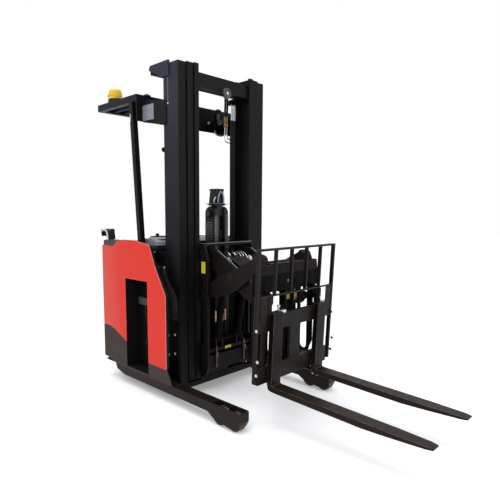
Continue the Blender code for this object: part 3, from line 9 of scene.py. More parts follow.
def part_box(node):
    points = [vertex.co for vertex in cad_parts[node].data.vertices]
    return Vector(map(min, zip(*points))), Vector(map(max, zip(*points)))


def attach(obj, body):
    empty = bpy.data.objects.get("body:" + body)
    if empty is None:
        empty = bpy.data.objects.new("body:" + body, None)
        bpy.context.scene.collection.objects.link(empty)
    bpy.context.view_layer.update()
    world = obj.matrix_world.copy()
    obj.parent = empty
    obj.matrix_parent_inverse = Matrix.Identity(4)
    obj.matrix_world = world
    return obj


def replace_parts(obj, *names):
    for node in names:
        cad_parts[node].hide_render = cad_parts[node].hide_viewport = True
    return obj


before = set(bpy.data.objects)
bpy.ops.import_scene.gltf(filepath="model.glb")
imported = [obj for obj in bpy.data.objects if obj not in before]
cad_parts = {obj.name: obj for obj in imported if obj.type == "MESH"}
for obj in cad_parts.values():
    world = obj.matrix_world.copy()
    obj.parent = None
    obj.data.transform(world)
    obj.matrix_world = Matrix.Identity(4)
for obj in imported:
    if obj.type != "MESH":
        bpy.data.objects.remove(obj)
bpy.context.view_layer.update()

# X of the mast's front face. Lengths along the truck are counted from it.
FACE = -0.413
RIGHT, LEFT = -1, 1
SIDES = ((RIGHT, "right"), (LEFT, "left"))


# Chassis, skirts and rear cover
# Welded steel plate in a matt, slightly textured brown-grey paint, dusty where it is near the floor.
# Hexagon screws hold the rear cover, and its lower half has pressed louvres for the drive motor.

def feed(tree, target, value):
    """Gives an input its value, which is a plain one or another node's socket."""
    if isinstance(value, bpy.types.NodeSocket):
        tree.links.new(value, target)
    else:
        target.default_value = value


def fill(tree, node, **values):
    """Gives a node's named inputs their values."""
    for key, value in values.items():
        feed(tree, node.inputs[key.replace("_", " ")], value)
    return node


def put(tree, kind, settings=None, **values):
    """Adds a shader or geometry node, with its settings and the values of its named inputs."""
    made = tree.nodes.new(kind)
    for key, value in (settings or {}).items():
        setattr(made, key, value)
    return fill(tree, made, **values)


def reckon(tree, operation, *values, kind="ShaderNodeMath"):
    """Result of a sum on numbers, or on vectors if the kind says so."""
    made = put(tree, kind, {"operation": operation})
    for target, value in zip(made.inputs, values):
        feed(tree, target, value)
    return made.outputs["Value"]


def blend_colours(tree, factor, first, second):
    """Mixes two colours, each a socket or four numbers, and gives the result's socket."""
    made = put(tree, "ShaderNodeMix", {"data_type": "RGBA"})
    for index, value in ((0, factor), (6, first), (7, second)):
        feed(tree, made.inputs[index], value)
    return made.outputs[2]


def graded(tree, socket, low, high, to_low, to_high):
    """Stretches a value from one range to another."""
    return put(tree, "ShaderNodeMapRange", None, Value=socket, From_Min=low, From_Max=high, To_Min=to_low,
               To_Max=to_high).outputs["Result"]


def speckle(tree, where, scale, detail):
    """Noise of a given scale on the object's own coordinates."""
    return put(tree, "ShaderNodeTexNoise", None, Scale=scale, Detail=detail, Roughness=0.55,
               Vector=where).outputs["Fac"]


def relief(tree, height, strength, distance):
    """Normal of a surface with a fine relief."""
    made = put(tree, "ShaderNodeBump", None, Strength=strength, Distance=distance, Height=height)
    return made.outputs["Normal"]


def edge_mask(tree, radius):
    """1 on sharp edges and 0 on flat faces."""
    worn = put(tree, "ShaderNodeBevel", {"samples": 4}, Radius=radius).outputs["Normal"]
    face = put(tree, "ShaderNodeNewGeometry").outputs["Normal"]
    turn = reckon(tree, "DOT_PRODUCT", worn, face, kind="ShaderNodeVectorMath")
    return graded(tree, turn, 0.995, 0.8, 0, 1.0)


def new_material(name, level):
    """Starts a material, and gives it, its tree, its shader and the object's coordinates."""
    made = bpy.data.materials.new(name)
    made.use_nodes = True
    tree = made.node_tree
    shader = fill(tree, tree.nodes["Principled BSDF"], Specular_IOR_Level=level)
    return made, tree, shader, put(tree, "ShaderNodeTexCoord").outputs["Object"]


def paint(name, low, high, roughness, level, edge, grain=420.0, bump=0.12, change=(0.7, 2.2),
          cloud=0.3, inner_shade=None, axis="Z"):
    """Sprayed paint on steel: its colour changes along an axis, and it has a fine grain. Its edges take a
    paler colour in patches, partly wear and partly a painted highlight. Faces nearer the middle than a
    given distance take a darker colour, a painted shade."""
    made, tree, shader, where = new_material(name, level)
    apart = put(tree, "ShaderNodeSeparateXYZ", None, Vector=where)
    rise = graded(tree, apart.outputs[axis], *change, 0, 1.0)
    colour = blend_colours(tree, rise, (*low, 1.0), (*high, 1.0))
    drift = graded(tree, speckle(tree, where, 5.0, 4.0), 0.35, 0.7, 0, cloud)
    colour = blend_colours(tree, drift, colour, (*[c * 1.5 for c in low], 1.0))
    # Paler edges in patches: partly rubbed wear, partly a painted highlight along the edges.
    patches = graded(tree, speckle(tree, where, 60.0, 3.0), 0.3, 0.65, 0.25, 1.0)
    rubbed = reckon(tree, "MULTIPLY", edge_mask(tree, 0.004), patches)
    colour = blend_colours(tree, rubbed, colour, (*edge, 1.0))
    # Faces nearer the middle take a darker colour: painted shade on the inner faces.
    if inner_shade:
        out = reckon(tree, "ABSOLUTE", apart.outputs["Y"])
        inner = graded(tree, out, inner_shade[0], inner_shade[0] + 0.0004, 1.0, 0)
        colour = blend_colours(tree, inner, colour, (*inner_shade[1], 1.0))
    gloss = graded(tree, speckle(tree, where, 24.0, 5.0), 0.3, 0.7, roughness - 0.07, roughness + 0.09)
    round_edge = put(tree, "ShaderNodeBevel", {"samples": 4}, Radius=0.0025,
                     Normal=relief(tree, speckle(tree, where, grain, 2.0), bump, 0.0004))
    fill(tree, shader, Base_Color=colour, Roughness=gloss, Normal=round_edge.outputs["Normal"])
    return made


def coat(material, *nodes):
    """Gives CAD nodes their material."""
    for node in nodes:
        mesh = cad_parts[node].data
        mesh.materials.clear()
        mesh.materials.append(material)


def placed(name, mesh):
    """Puts a mesh in the scene."""
    made = bpy.data.objects.new(name, mesh)
    bpy.context.scene.collection.objects.link(made)
    return made


def finished(piece, body):
    """Lets a piece ride on a body."""
    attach(piece, body)
    return piece


def smoothed(name, mesh, material, body, crease):
    """Makes a piece of a finished mesh that is smooth up to its creases."""
    mesh.materials.clear()
    mesh.materials.append(material)
    mesh.shade_smooth()
    mesh.set_sharp_from_angle(angle=math.radians(crease))
    return finished(placed(name, mesh), body)


def mesh_piece(name, bm, material, body, crease=32.0):
    """Makes a piece of a mesh whose vertices are in place, and lets it ride on a body."""
    bmesh.ops.remove_doubles(bm, verts=bm.verts, dist=0.00001)
    bmesh.ops.recalc_face_normals(bm, faces=bm.faces)
    mesh = bpy.data.meshes.new(name)
    bm.to_mesh(mesh)
    bm.free()
    return smoothed(name, mesh, material, body, crease)


def part(name, material, body, slot, *shapes):
    """Piece that is joined from shapes, each a maker and the sizes that it takes."""
    bm = bmesh.new()
    for make, *sizes in shapes:
        make(bm, *sizes)
    return mesh_piece(name, bm, material, body)


def steel(name, colour, roughness, brushed=(1.0, 1.0, 1.0), metallic=1.0):
    """Bare or plated metal with fine drawn lines and a few stains."""
    made, tree, shader, where = new_material(name, 0.5)
    stain = graded(tree, speckle(tree, where, 35.0, 5.0), 0.45, 0.75, 0, 0.5)
    tint = blend_colours(tree, stain, (*colour, 1.0), (*[c * 0.6 for c in colour], 1.0))
    drawn = put(tree, "ShaderNodeMapping", None, Scale=brushed, Vector=where)
    lines = speckle(tree, drawn.outputs["Vector"], 150.0, 3.0)
    gloss = graded(tree, lines, 0.3, 0.7, roughness * 0.75, roughness * 1.35)
    fill(tree, shader, Metallic=metallic, Base_Color=tint, Roughness=gloss,
         Normal=relief(tree, lines, 0.06, 0.0002))
    return made


def start_tree(name, numbers, vectors=()):
    """Geometry node tree that takes spots, named numbers and vectors, and gives a finished mesh."""
    tree = bpy.data.node_groups.new(name, "GeometryNodeTree")
    inputs = [("Spots", "Geometry"), *[(label, "Float") for label in numbers],
              *[(label, "Vector") for label in vectors], ("Finish", "Material")]
    for label, kind in inputs:
        tree.interface.new_socket(label, in_out="INPUT", socket_type="NodeSocket" + kind)
    tree.interface.new_socket("Made", in_out="OUTPUT", socket_type="NodeSocketGeometry")
    return tree, put(tree, "NodeGroupInput").outputs, put(tree, "NodeGroupOutput")


def lay_on_spots(tree, given, result, shape, spots=None):
    """Puts a shape on every spot with its Z axis along the spot's facing, makes it real and finishes it."""
    facing = put(tree, "GeometryNodeInputNamedAttribute", {"data_type": "FLOAT_VECTOR"}, Name="facing")
    turn = put(tree, "FunctionNodeAlignRotationToVector", {"axis": "Z"}, Vector=facing.outputs["Attribute"])
    lay = put(tree, "GeometryNodeInstanceOnPoints", None, Points=spots or given["Spots"], Instance=shape,
              Rotation=turn.outputs["Rotation"])
    real = put(tree, "GeometryNodeRealizeInstances", None, Geometry=lay.outputs[0])
    finish = put(tree, "GeometryNodeSetMaterial", None, Geometry=real.outputs[0], Material=given["Finish"])
    fill(tree, result, Made=finish.outputs[0])


def screw_tree():
    """Hexagon head with a chamfered top on a round washer."""
    tree, given, result = start_tree("hexagon_screws", ("Radius", "Height"))
    joined = put(tree, "GeometryNodeJoinGeometry")
    for sides, bottom, top, low, high in ((20, 1.45, 1.38, 0, 0.22), (6, 1.0, 1.0, 0.22, 0.85),
                                          (6, 1.0, 0.82, 0.85, 1.0)):
        layer = put(tree, "GeometryNodeMeshCone", None, Vertices=sides,
                    Radius_Bottom=reckon(tree, "MULTIPLY", given["Radius"], bottom),
                    Radius_Top=reckon(tree, "MULTIPLY", given["Radius"], top),
                    Depth=reckon(tree, "MULTIPLY", given["Height"], high - low))
        lift = put(tree, "ShaderNodeCombineXYZ", None, Z=reckon(tree, "MULTIPLY", given["Height"], low))
        moved = put(tree, "GeometryNodeTransform", None, Geometry=layer.outputs["Mesh"],
                    Translation=lift.outputs[0])
        tree.links.new(moved.outputs[0], joined.inputs[0])
    lay_on_spots(tree, given, result, joined.outputs[0])
    return tree


def bar_tree():
    """Flat bar of a given size standing on each spot, with its thickness along the spot's facing."""
    tree, given, result = start_tree("bars_on_spots", (), ("Size",))
    bar = put(tree, "GeometryNodeMeshCube", None, Size=given["Size"])
    lay_on_spots(tree, given, result, bar.outputs["Mesh"])
    return tree


def final_mesh(thing):
    """The mesh that an object's modifiers leave."""
    bpy.context.view_layer.update()
    graph = bpy.context.evaluated_depsgraph_get()
    return bpy.data.meshes.new_from_object(thing.evaluated_get(graph), depsgraph=graph)


def baked(name, tree, spots, values, material, body, edges=()):
    """Runs a geometry node tree on spots (place, facing), and keeps the result as one plain mesh."""
    mesh = bpy.data.meshes.new(name + "_spots")
    mesh.from_pydata([place for place, _ in spots], edges, [])
    facing = mesh.attributes.new("facing", "FLOAT_VECTOR", "POINT")
    for item, (_, way) in zip(facing.data, spots):
        item.vector = way
    holder = placed(name + "_spots", mesh)
    worker = holder.modifiers.new("maker", "NODES")
    worker.node_group = tree
    values = {**values, "Finish": material}
    for item in tree.interface.items_tree:
        if item.in_out == "INPUT" and item.name in values:
            worker[item.identifier] = values[item.name]
    holder.update_tag()
    solid = final_mesh(holder)
    solid.name = name
    bpy.data.objects.remove(holder)
    return smoothed(name, solid, material, body, 32.0)


screws, bars = screw_tree(), bar_tree()
# The skirts' inner faces are darker: painted shade.
skirt_paint = paint("skirt_paint", (0.046, 0.034, 0.028), (0.034, 0.026, 0.023), 0.62, 0.16,
                    edge=(0.08, 0.066, 0.055), grain=700.0, bump=0.35, change=(0.1, 0.7),
                    inner_shade=(0.5795, (0.0045, 0.0038, 0.0034)))
coat(skirt_paint, "chassis", "rear_cover")
zinc = steel("zinc_plate", (0.58, 0.57, 0.53), 0.32)
dull_black = paint("dull_black", (0.006, 0.0055, 0.0055), (0.007, 0.007, 0.01), 0.5, 0.15,
                   edge=(0.03, 0.03, 0.03))


def driven(name, places, way, body, radius=0.0055, height=0.0045, material=None):
    """Hexagon screws at places in the truck's lengths, all with their heads facing one way."""
    spots = [((FACE + x, y, z), way) for x, y, z in places]
    values = {"Radius": radius, "Height": height}
    return baked(name, screws, spots, values, material or zinc, body)


cover_low, cover_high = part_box("rear_cover")
louvre_y = (cover_low.y + cover_high.y) / 2
louvres = [((cover_low.x + 0.0005, louvre_y, 0.33 + 0.026 * k), (-1, 0, 0)) for k in range(11)]


# Straddle legs, drive unit and caster
# The legs are box sections welded from heavy plate in satin brown-black, pale along the edges, partly
# rubbed by pallets and partly a painted highlight. The drive unit is a black casting and the caster's
# yoke is bent plate, both under the rear.

# The pale edge colour is partly wear and partly a painted highlight.
leg_paint = paint("leg_paint", (0.011, 0.007, 0.0052), (0.009, 0.0062, 0.005), 0.44, 0.14,
                  edge=(0.085, 0.058, 0.046), change=(0, 0.6))
coat(leg_paint, "leg_left", "leg_right", "drive_plate", "caster_yoke")
coat(dull_black, "drive_unit")
baked("rear_louvres", bars, louvres, {"Size": (0.011, 0.3, 0.005)}, dull_black, "truck")
corners = [(cover_low.x - FACE + 0.0003, y, z) for y in (cover_low.y + 0.028, cover_high.y - 0.028)
           for z in (0.23, 0.52, 0.8, 1.095)]
driven("rear_cover_screws", corners, (-1, 0, 0), "truck")
for side, word in SIDES:
    face = side * 0.4892
    places = [(0.56 + 0.045 * k, face, 0.128) for k in range(2)]
    driven("wheel_screws_" + word, places, (0, -side, 0), "truck", 0.007, 0.005)


# Load wheels, drive wheel and caster wheel
# Cast polyurethane on steel hubs, dark brown and slightly translucent, with a dusty tread.
# Each hub is turned steel with a pressed-in bearing, and the axle's end shows in its middle.

def tyre_compound(name, colour, dust):
    """Polyurethane with mould flow marks and floor dust."""
    made, tree, shader, where = new_material(name, 0.28)
    marks = graded(tree, speckle(tree, where, 40.0, 6.0), 0.4, 0.7, 0, 0.6)
    fill(tree, shader, Base_Color=blend_colours(tree, marks, (*colour, 1.0), (*dust, 1.0)),
         Roughness=graded(tree, speckle(tree, where, 90.0, 3.0), 0.3, 0.7, 0.35, 0.6),
         Normal=relief(tree, speckle(tree, where, 260.0, 3.0), 0.2, 0.0006))
    return made


def skin(bm, rings, closed=False):
    """Skins a row of rings with equally many corners, and shuts its two ends unless the row is closed."""
    for lower, upper in zip(rings, rings[1:] + (rings[:1] if closed else [])):
        for k in range(len(lower)):
            n = (k + 1) % len(lower)
            bm.faces.new((lower[k], lower[n], upper[n], upper[k]))
    if not closed:
        bm.faces.new(rings[0][::-1])
        bm.faces.new(rings[-1])


def ring(bm, hub, across, other, radius, sides):
    """Ring of corners about a hub."""
    angles = [math.tau * k / sides for k in range(sides)]
    return [bm.verts.new(hub + across * radius * math.cos(angle) + other * radius * math.sin(angle))
            for angle in angles]


def turned(bm, centre, axis, profile, steps=32):
    """Turned solid about an axis, in the truck's lengths: profile lists (radius, distance along the axis)."""
    axis = Vector(axis).normalized()
    across = axis.orthogonal().normalized()
    other = axis.cross(across)
    rings = []
    x, y, z = centre
    for radius, reach in profile:
        hub = Vector((FACE + x, y, z)) + axis * reach
        rings.append(ring(bm, hub, across, other, radius, steps) if radius else [bm.verts.new(hub)])
    for lower, upper in zip(rings, rings[1:]):
        for k in range(steps):
            n = (k + 1) % steps
            if len(lower) == 1:
                bm.faces.new((lower[0], upper[k], upper[n]))
            elif len(upper) == 1:
                bm.faces.new((lower[k], lower[n], upper[0]))
            else:
                bm.faces.new((lower[k], lower[n], upper[n], upper[k]))
    for end in (rings[0], rings[-1]):
        if len(end) > 1:
            bm.faces.new(end)


def slab(bm, low, high, edge=0.003, steps=2):
    """Rounded block between two corners, in the truck's lengths."""
    made = bmesh.ops.create_cube(bm, size=1.0)["verts"]
    size = [b - a for a, b in zip(low, high)]
    middle = Vector([(a + b) / 2 for a, b in zip(low, high)]) + Vector((FACE, 0, 0))
    bmesh.ops.scale(bm, vec=size, verts=made)
    bmesh.ops.translate(bm, vec=middle, verts=made)
    edges = list({e for v in made for e in v.link_edges})
    bmesh.ops.bevel(bm, geom=edges, offset=edge, segments=steps, affect="EDGES", profile=0.5)


wheel_compound = tyre_compound("wheel_compound", (0.05, 0.022, 0.012), (0.06, 0.038, 0.026))
bare_steel = steel("bare_steel", (0.36, 0.35, 0.34), 0.34)
WHEEL_LINE, wheel_half, wheel_radius = 0.537, 0.0322, 0.0635
LOAD_WHEELS = [(word + "_" + place, side, x) for side, word in SIDES
               for place, x in (("front", 0.652), ("rear", 0.512))]
HUB = [(0, 0), (0.016, 0), (0.017, -0.001), (0.024, -0.001), (0.026, 0.0006), (0.046, 0.0006),
       (0.048, -0.0006), (0.048, -0.006), (0, -0.006)]
for word, side, x in LOAD_WHEELS:
    coat(wheel_compound, "load_wheel_" + word)
    part("load_wheel_hub_" + word, bare_steel, "load_wheel_" + word, "bare_steel",
         *((turned, (x, side * WHEEL_LINE + face * wheel_half, wheel_radius), (0, face, 0), HUB)
           for face in (LEFT, RIGHT)))
lock_line = 0.5535
# Pale plates over the load wheels: their pale colour is a painted highlight, the glints on the wheel tops.
glint_pale_zinc = steel("glint_pale_zinc", (0.8, 0.77, 0.72), 0.4)
for side, word in SIDES:
    part("axle_lock_glints_" + word, glint_pale_zinc, "truck", "bare_steel",
         *((slab, (x - half, side * lock_line - 0.011, 0.13),
           (x + half, side * lock_line + 0.011, 0.1325), 0.001, 1) for x, half in ((0.568, 0.02),
           (0.683, 0.015))))
    part("wheel_straps_" + word, dull_black, "truck", "black_paint",
         *((slab, (x - 0.009, side * WHEEL_LINE - 0.0345, 0.1282),
           (x + 0.009, side * WHEEL_LINE + 0.0345, 0.1302), 0.0008, 1) for x in (0.568, 0.683)))
coat(wheel_compound, "drive_wheel", "caster_wheel")
for node in ("drive_wheel", "caster_wheel"):
    low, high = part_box(node)
    centre, radius = (low + high) / 2, (high.z - low.z) / 2
    bm = bmesh.new()
    for face, y in ((LEFT, high.y), (RIGHT, low.y)):
        rim = [(0, 0.0012), (radius * 0.22, 0.0012), (radius * 0.24, 0.0004), (radius * 0.52, 0.0004),
               (radius * 0.55, 0.0016), (radius * 0.66, 0.0016), (radius * 0.67, -0.002), (0, -0.002)]
        turned(bm, (centre.x - FACE, y, centre.z), (0, face, 0), rim, 40)
    mesh_piece(node + "_hub", bm, bare_steel, node)


# Side panels
# Pressed steel doors in gloss red, paler and pinker towards the rear as a painted sheen. Their inner
# faces are near-black as a painted shade, and the pale colour along the rounded front edge is a painted
# highlight. They close over the skirts with a fine gap all round.

def hose(bm, points, radius, sides=10, smooth=6, closed=False):
    """Round hose or bar through points, on one smooth curve, in the truck's lengths."""
    places = [Vector((FACE + x, y, z)) for x, y, z in points]
    count = len(places)
    path = []
    for k in range(count if closed else count - 1):
        if closed:
            a, b, c, d = (places[(k + n) % count] for n in (-1, 0, 1, 2))
        else:
            b, c = places[k], places[k + 1]
            a = places[k - 1] if k else b * 2 - c
            d = places[k + 2] if k + 2 < count else c * 2 - b
        for n in range(smooth):
            t = n / smooth
            path.append(0.5 * ((2 * b) + (c - a) * t + (2 * a - 5 * b + 4 * c - d) * t * t
                               + (3 * b - a - 3 * c + d) * t * t * t))
    if not closed:
        path.append(places[-1])
    rings, across = [], None
    for k, place in enumerate(path):
        before = path[k - 1] if k or closed else place
        after = path[(k + 1) % len(path)] if k + 1 < len(path) or closed else place
        along = (after - before).normalized()
        across = along.orthogonal() if across is None else across - along * across.dot(along)
        across.normalize()
        rings.append(ring(bm, place, across, along.cross(across), radius, sides))
    skin(bm, rings, closed)


# Paler and pinker towards the rear: painted sheen. Near-black inner faces: painted shade. Pale edges: painted
# highlight.
red_paint = paint("red_paint", (0.7, 0.072, 0.052), (0.73, 0.026, 0.01), 0.4, 0.22,
                  edge=(0.9, 0.34, 0.28), grain=260.0, bump=0.08, change=(FACE - 0.96, FACE - 0.68),
                  axis="X", cloud=0.0, inner_shade=(0.58, (0.005, 0.0042, 0.004)))
coat(red_paint, "side_panel_left", "side_panel_right")
lip = [(-0.9715, 1.125), (-0.76, 1.125), (-0.7, 1.225), (-0.712, 1.2435), (-0.724, 1.236), (-0.788, 1.191),
       (-0.796, 1.188), (-0.9715, 1.194)]
rolled = [(-0.0592, 0.262), (-0.0592, 0.54), (-0.0592, 0.812), (-0.062, 0.8405), (-0.0703, 0.8597),
          (-0.13, 0.959), (-0.1832, 1.0495), (-0.22, 1.13), (-0.2512, 1.2003), (-0.265, 1.2182),
          (-0.286, 1.2268), (-0.35, 1.2362), (-0.42, 1.2465)]
# Pale bead along the panel's rounded front edge: a painted highlight on that edge.
edge_highlight_bead = steel("edge_highlight_bead", (0.82, 0.5, 0.42), 0.45, metallic=0.2)
for side, word in SIDES:
    bm = bmesh.new()
    skin(bm, [[bm.verts.new((FACE + x, side * y, z)) for x, z in lip] for y in (0.5832, 0.5847)])
    mesh_piece("panel_lip_" + word, bm, red_paint, "truck")
for side, word in SIDES:
    edge = [(x, side * 0.5837, z) for x, z in rolled]
    part("panel_edge_" + word, edge_highlight_bead, "truck", "red_paint", (hose, edge, 0.0012, 6, 4))


# Battery and battery bay
# A steel tray that slides into the body, near-black and darker than the other paints as painted shade
# inside the bay. Its grey plastic connector and two rubber leads show in the side panel's opening, between
# hexagon screws.

def moulding(name, colour, roughness, grain=1400.0, bump=0.5, level=0.4):
    """Grained plastic."""
    made, tree, shader, where = new_material(name, level)
    rubbed = graded(tree, speckle(tree, where, 18.0, 5.0), 0.4, 0.75, 0, 0.5)
    pale = tuple(min(1.0, c * 1.4 + 0.004) for c in colour)
    gloss = graded(tree, speckle(tree, where, 60.0, 3.0), 0.3, 0.7, roughness - 0.06, roughness + 0.08)
    fill(tree, shader, Base_Color=blend_colours(tree, rubbed, (*colour, 1.0), (*pale, 1.0)), Roughness=gloss,
         Normal=relief(tree, speckle(tree, where, grain, 1.0), bump, 0.0003))
    return made


# Near-black, darker than the other black paints: painted shade inside the battery bay.
shade_black = paint("shade_black", (0.0022, 0.0018, 0.0016), (0.0022, 0.0018, 0.0016), 0.55, 0.06,
                  edge=(0.012, 0.011, 0.011))
coat(shade_black, "battery")
rubber = moulding("hose_rubber", (0.0055, 0.0052, 0.0055), 0.48, 700.0, 0.3, 0.22)
lead_line = 0.487
connector_grey = moulding("connector_grey", (0.026, 0.024, 0.023), 0.5, 900.0, 0.3)
for side, word in SIDES:
    part("battery_connector_" + word, connector_grey, "truck", "dark_plastic",
         (slab, (-0.545, side * lead_line - 0.014, 0.705), (-0.4, side * lead_line + 0.014, 0.768), 0.004))
    part("battery_leads_" + word, rubber, "truck", "dark_plastic",
         *((hose, [(x, side * lead_line, 0.704), (x, side * 0.489, 0.64), (x + 0.02, side * 0.486, 0.54),
           (x + 0.01, side * 0.48, 0.44), (x - 0.02, side * 0.478, 0.36)], 0.008)
           for x in (-0.452, -0.418)))
    driven("bay_screws_" + word, [(-0.412, side * 0.4702, 0.8), (-0.412, side * 0.4702, 0.288)], (0, side, 0),
           "truck", 0.007)


# Top cover, console and controls
# Glass-filled nylon and ABS with a spark-eroded grain. The console is painted silver-grey and carries
# a blank display, a red stop button and a row of rocker switches with no marks on them.

dark_plastic = moulding("dark_plastic", (0.0095, 0.0092, 0.0095), 0.55, level=0.25)
coat(dark_plastic, "top_cover", "steering_wheel", "control_handle", "operator_floor")
console_skin = moulding("console_skin", (0.27, 0.26, 0.3), 0.36, 900.0, 0.2, 0.35)
coat(console_skin, "console")
rim_silver = moulding("rim_silver", (0.62, 0.63, 0.67), 0.34, 900.0, 0.1, 0.4)
stop_red = moulding("stop_red", (0.55, 0.02, 0.016), 0.34, 500.0, 0.1)
glass_black = moulding("display_glass", (0.004, 0.0045, 0.006), 0.12, 60.0, 0.02, 0.5)
console_top, stop_x, stop_y = 1.262, -0.48, -0.18
part("stop_button", stop_red, "truck", "red_paint",
     (turned, (stop_x, stop_y, console_top - 0.001), (0, 0, 1), [(0, 0.034), (0.014, 0.033), (0.02, 0.029),
      (0.021, 0.023), (0.016, 0.019), (0.013, 0.016), (0.013, 0), (0, 0)], 28))
part("console_bezels", dark_plastic, "truck", "dark_plastic",
     (turned, (stop_x, stop_y, console_top - 0.0008), (0, 0, 1), [(0, 0.004), (0.024, 0.004),
      (0.026, 0.002), (0.026, 0), (0, 0)], 28),
     (slab, (-0.5, -0.11, console_top - 0.001), (-0.41, 0.02, console_top + 0.004), 0.0025))
part("console_display", glass_black, "truck", "dark_plastic",
     (slab, (-0.493, -0.103, console_top + 0.003), (-0.417, 0.013, console_top + 0.0052), 0.001))
keys = [((FACE + stop_x + 0.026 * k, 0.065, console_top + 0.001), (0, 0.25, 1)) for k in range(4)]
baked("console_keys", bars, keys, {"Size": (0.02, 0.03, 0.008)}, dark_plastic, "truck")
wheel_low, wheel_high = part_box("steering_wheel")
hub = (wheel_low + wheel_high) / 2
wheel = part("steering_disc", dark_plastic, "steering_wheel", "dark_plastic",
             (turned, (hub.x - FACE, hub.y, wheel_low.z), (0, 0, 1), [(0, 0), (0.03, 0),
              (0.03, 0.006), (0.085, 0.008), (0.1, 0.005), (0.105, 0.011), (0.101, 0.018), (0.09, 0.019),
              (0.08, 0.013), (0.034, 0.011), (0.028, 0.015), (0, 0.016)], 48),
             (turned, (hub.x - FACE - 0.07, hub.y, wheel_low.z + 0.01), (0, 0, 1), [(0, 0),
              (0.008, 0), (0.008, 0.008), (0.015, 0.012), (0.017, 0.02), (0.014, 0.028), (0, 0.03)],
              24))
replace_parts(wheel, "steering_wheel")
part("steering_rim", rim_silver, "steering_wheel", "console_paint",
     (turned, (hub.x - FACE, hub.y, wheel_low.z), (0, 0, 1), [(0.1055, 0.001), (0.114, 0.001), (0.119, 0.004),
      (0.118, 0.009), (0.112, 0.011), (0.1055, 0.01), (0.1055, 0.001)], 56))
handle_low, handle_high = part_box("control_handle")
part("handle_grip", rubber, "truck", "dark_plastic",
     (slab, (handle_low.x - FACE + 0.012, handle_low.y + 0.01, handle_low.z + 0.001),
      (handle_high.x - FACE - 0.012, handle_high.y - 0.01, handle_low.z + 0.056), 0.016, 4))
# A silver-grey strip on the grip: its colour is a painted highlight on the handle.
part("handle_highlight_trim", console_skin, "truck", "console_paint",
     (hose, [(handle_low.x - FACE + 0.026, handle_low.y + 0.006, handle_low.z + 0.01),
      (handle_low.x - FACE + 0.04, handle_low.y + 0.006, handle_low.z + 0.05),
      (handle_high.x - FACE - 0.03, handle_low.y + 0.006, handle_low.z + 0.07)], 0.004))
hood = [(-0.99, 1.268), (-1.002, 1.318), (-0.986, 1.3325), (-0.958, 1.3325), (-0.925, 1.3345),
        (-0.898, 1.318), (-0.884, 1.285), (-0.878, 1.246)]
bm = bmesh.new()
rows = []
for k, (x, z) in enumerate(hood):
    before, after = Vector(hood[max(k - 1, 0)]), Vector(hood[min(k + 1, len(hood) - 1)])
    inward = Vector((after.y - before.y, before.x - after.x)).normalized() * 0.009
    wall = ((0, 0, -0.5755), (0, 0, -0.502), (*inward, -0.502), (*inward, -0.5755))
    rows.append([bm.verts.new((FACE + x + dx, y, z + dz)) for dx, dz, y in wall])
skin(bm, rows)
mesh_piece("handle_hood", bm, dark_plastic, "truck")
# Two silver trims along the hood's arch: their colour is a painted highlight along it.
part("hood_highlight_trims", rim_silver, "truck", "console_paint",
     *((hose, [(x + (inset if x < -0.95 else -inset * 0.6), -0.5765, z - inset * 0.7)
       for x, z in hood[1:]], 0.0036) for inset in (0.004, 0.016)))
part("floor_mat", rubber, "truck", "dark_plastic",
     (slab, (-0.962, -0.08, 0.2605), (-0.63, 0.48, 0.265), 0.002))
ribs = [((FACE - 0.95 + 0.02 * k, 0.2, 0.2655), (0, 0, 1)) for k in range(16)]
baked("floor_mat_ribs", bars, ribs, {"Size": (0.008, 0.54, 0.004)}, rubber, "truck")


# Arm rests and back pad
# Foam in dark grey vinyl, sewn with a piped seam along the edges. The cover is blown up over the foam
# and held to the foam's own thickness.

pad_vinyl = moulding("pad_vinyl", (0.05, 0.05, 0.05), 0.6, 800.0, 0.8, 0.25)
piping = moulding("pad_piping", (0.02, 0.02, 0.021), 0.45, 600.0, 0.3, 0.3)


def keep_result(thing):
    """Makes what an object's modifiers leave its own mesh."""
    result = final_mesh(thing)
    thing.modifiers.clear()
    thing.data = result


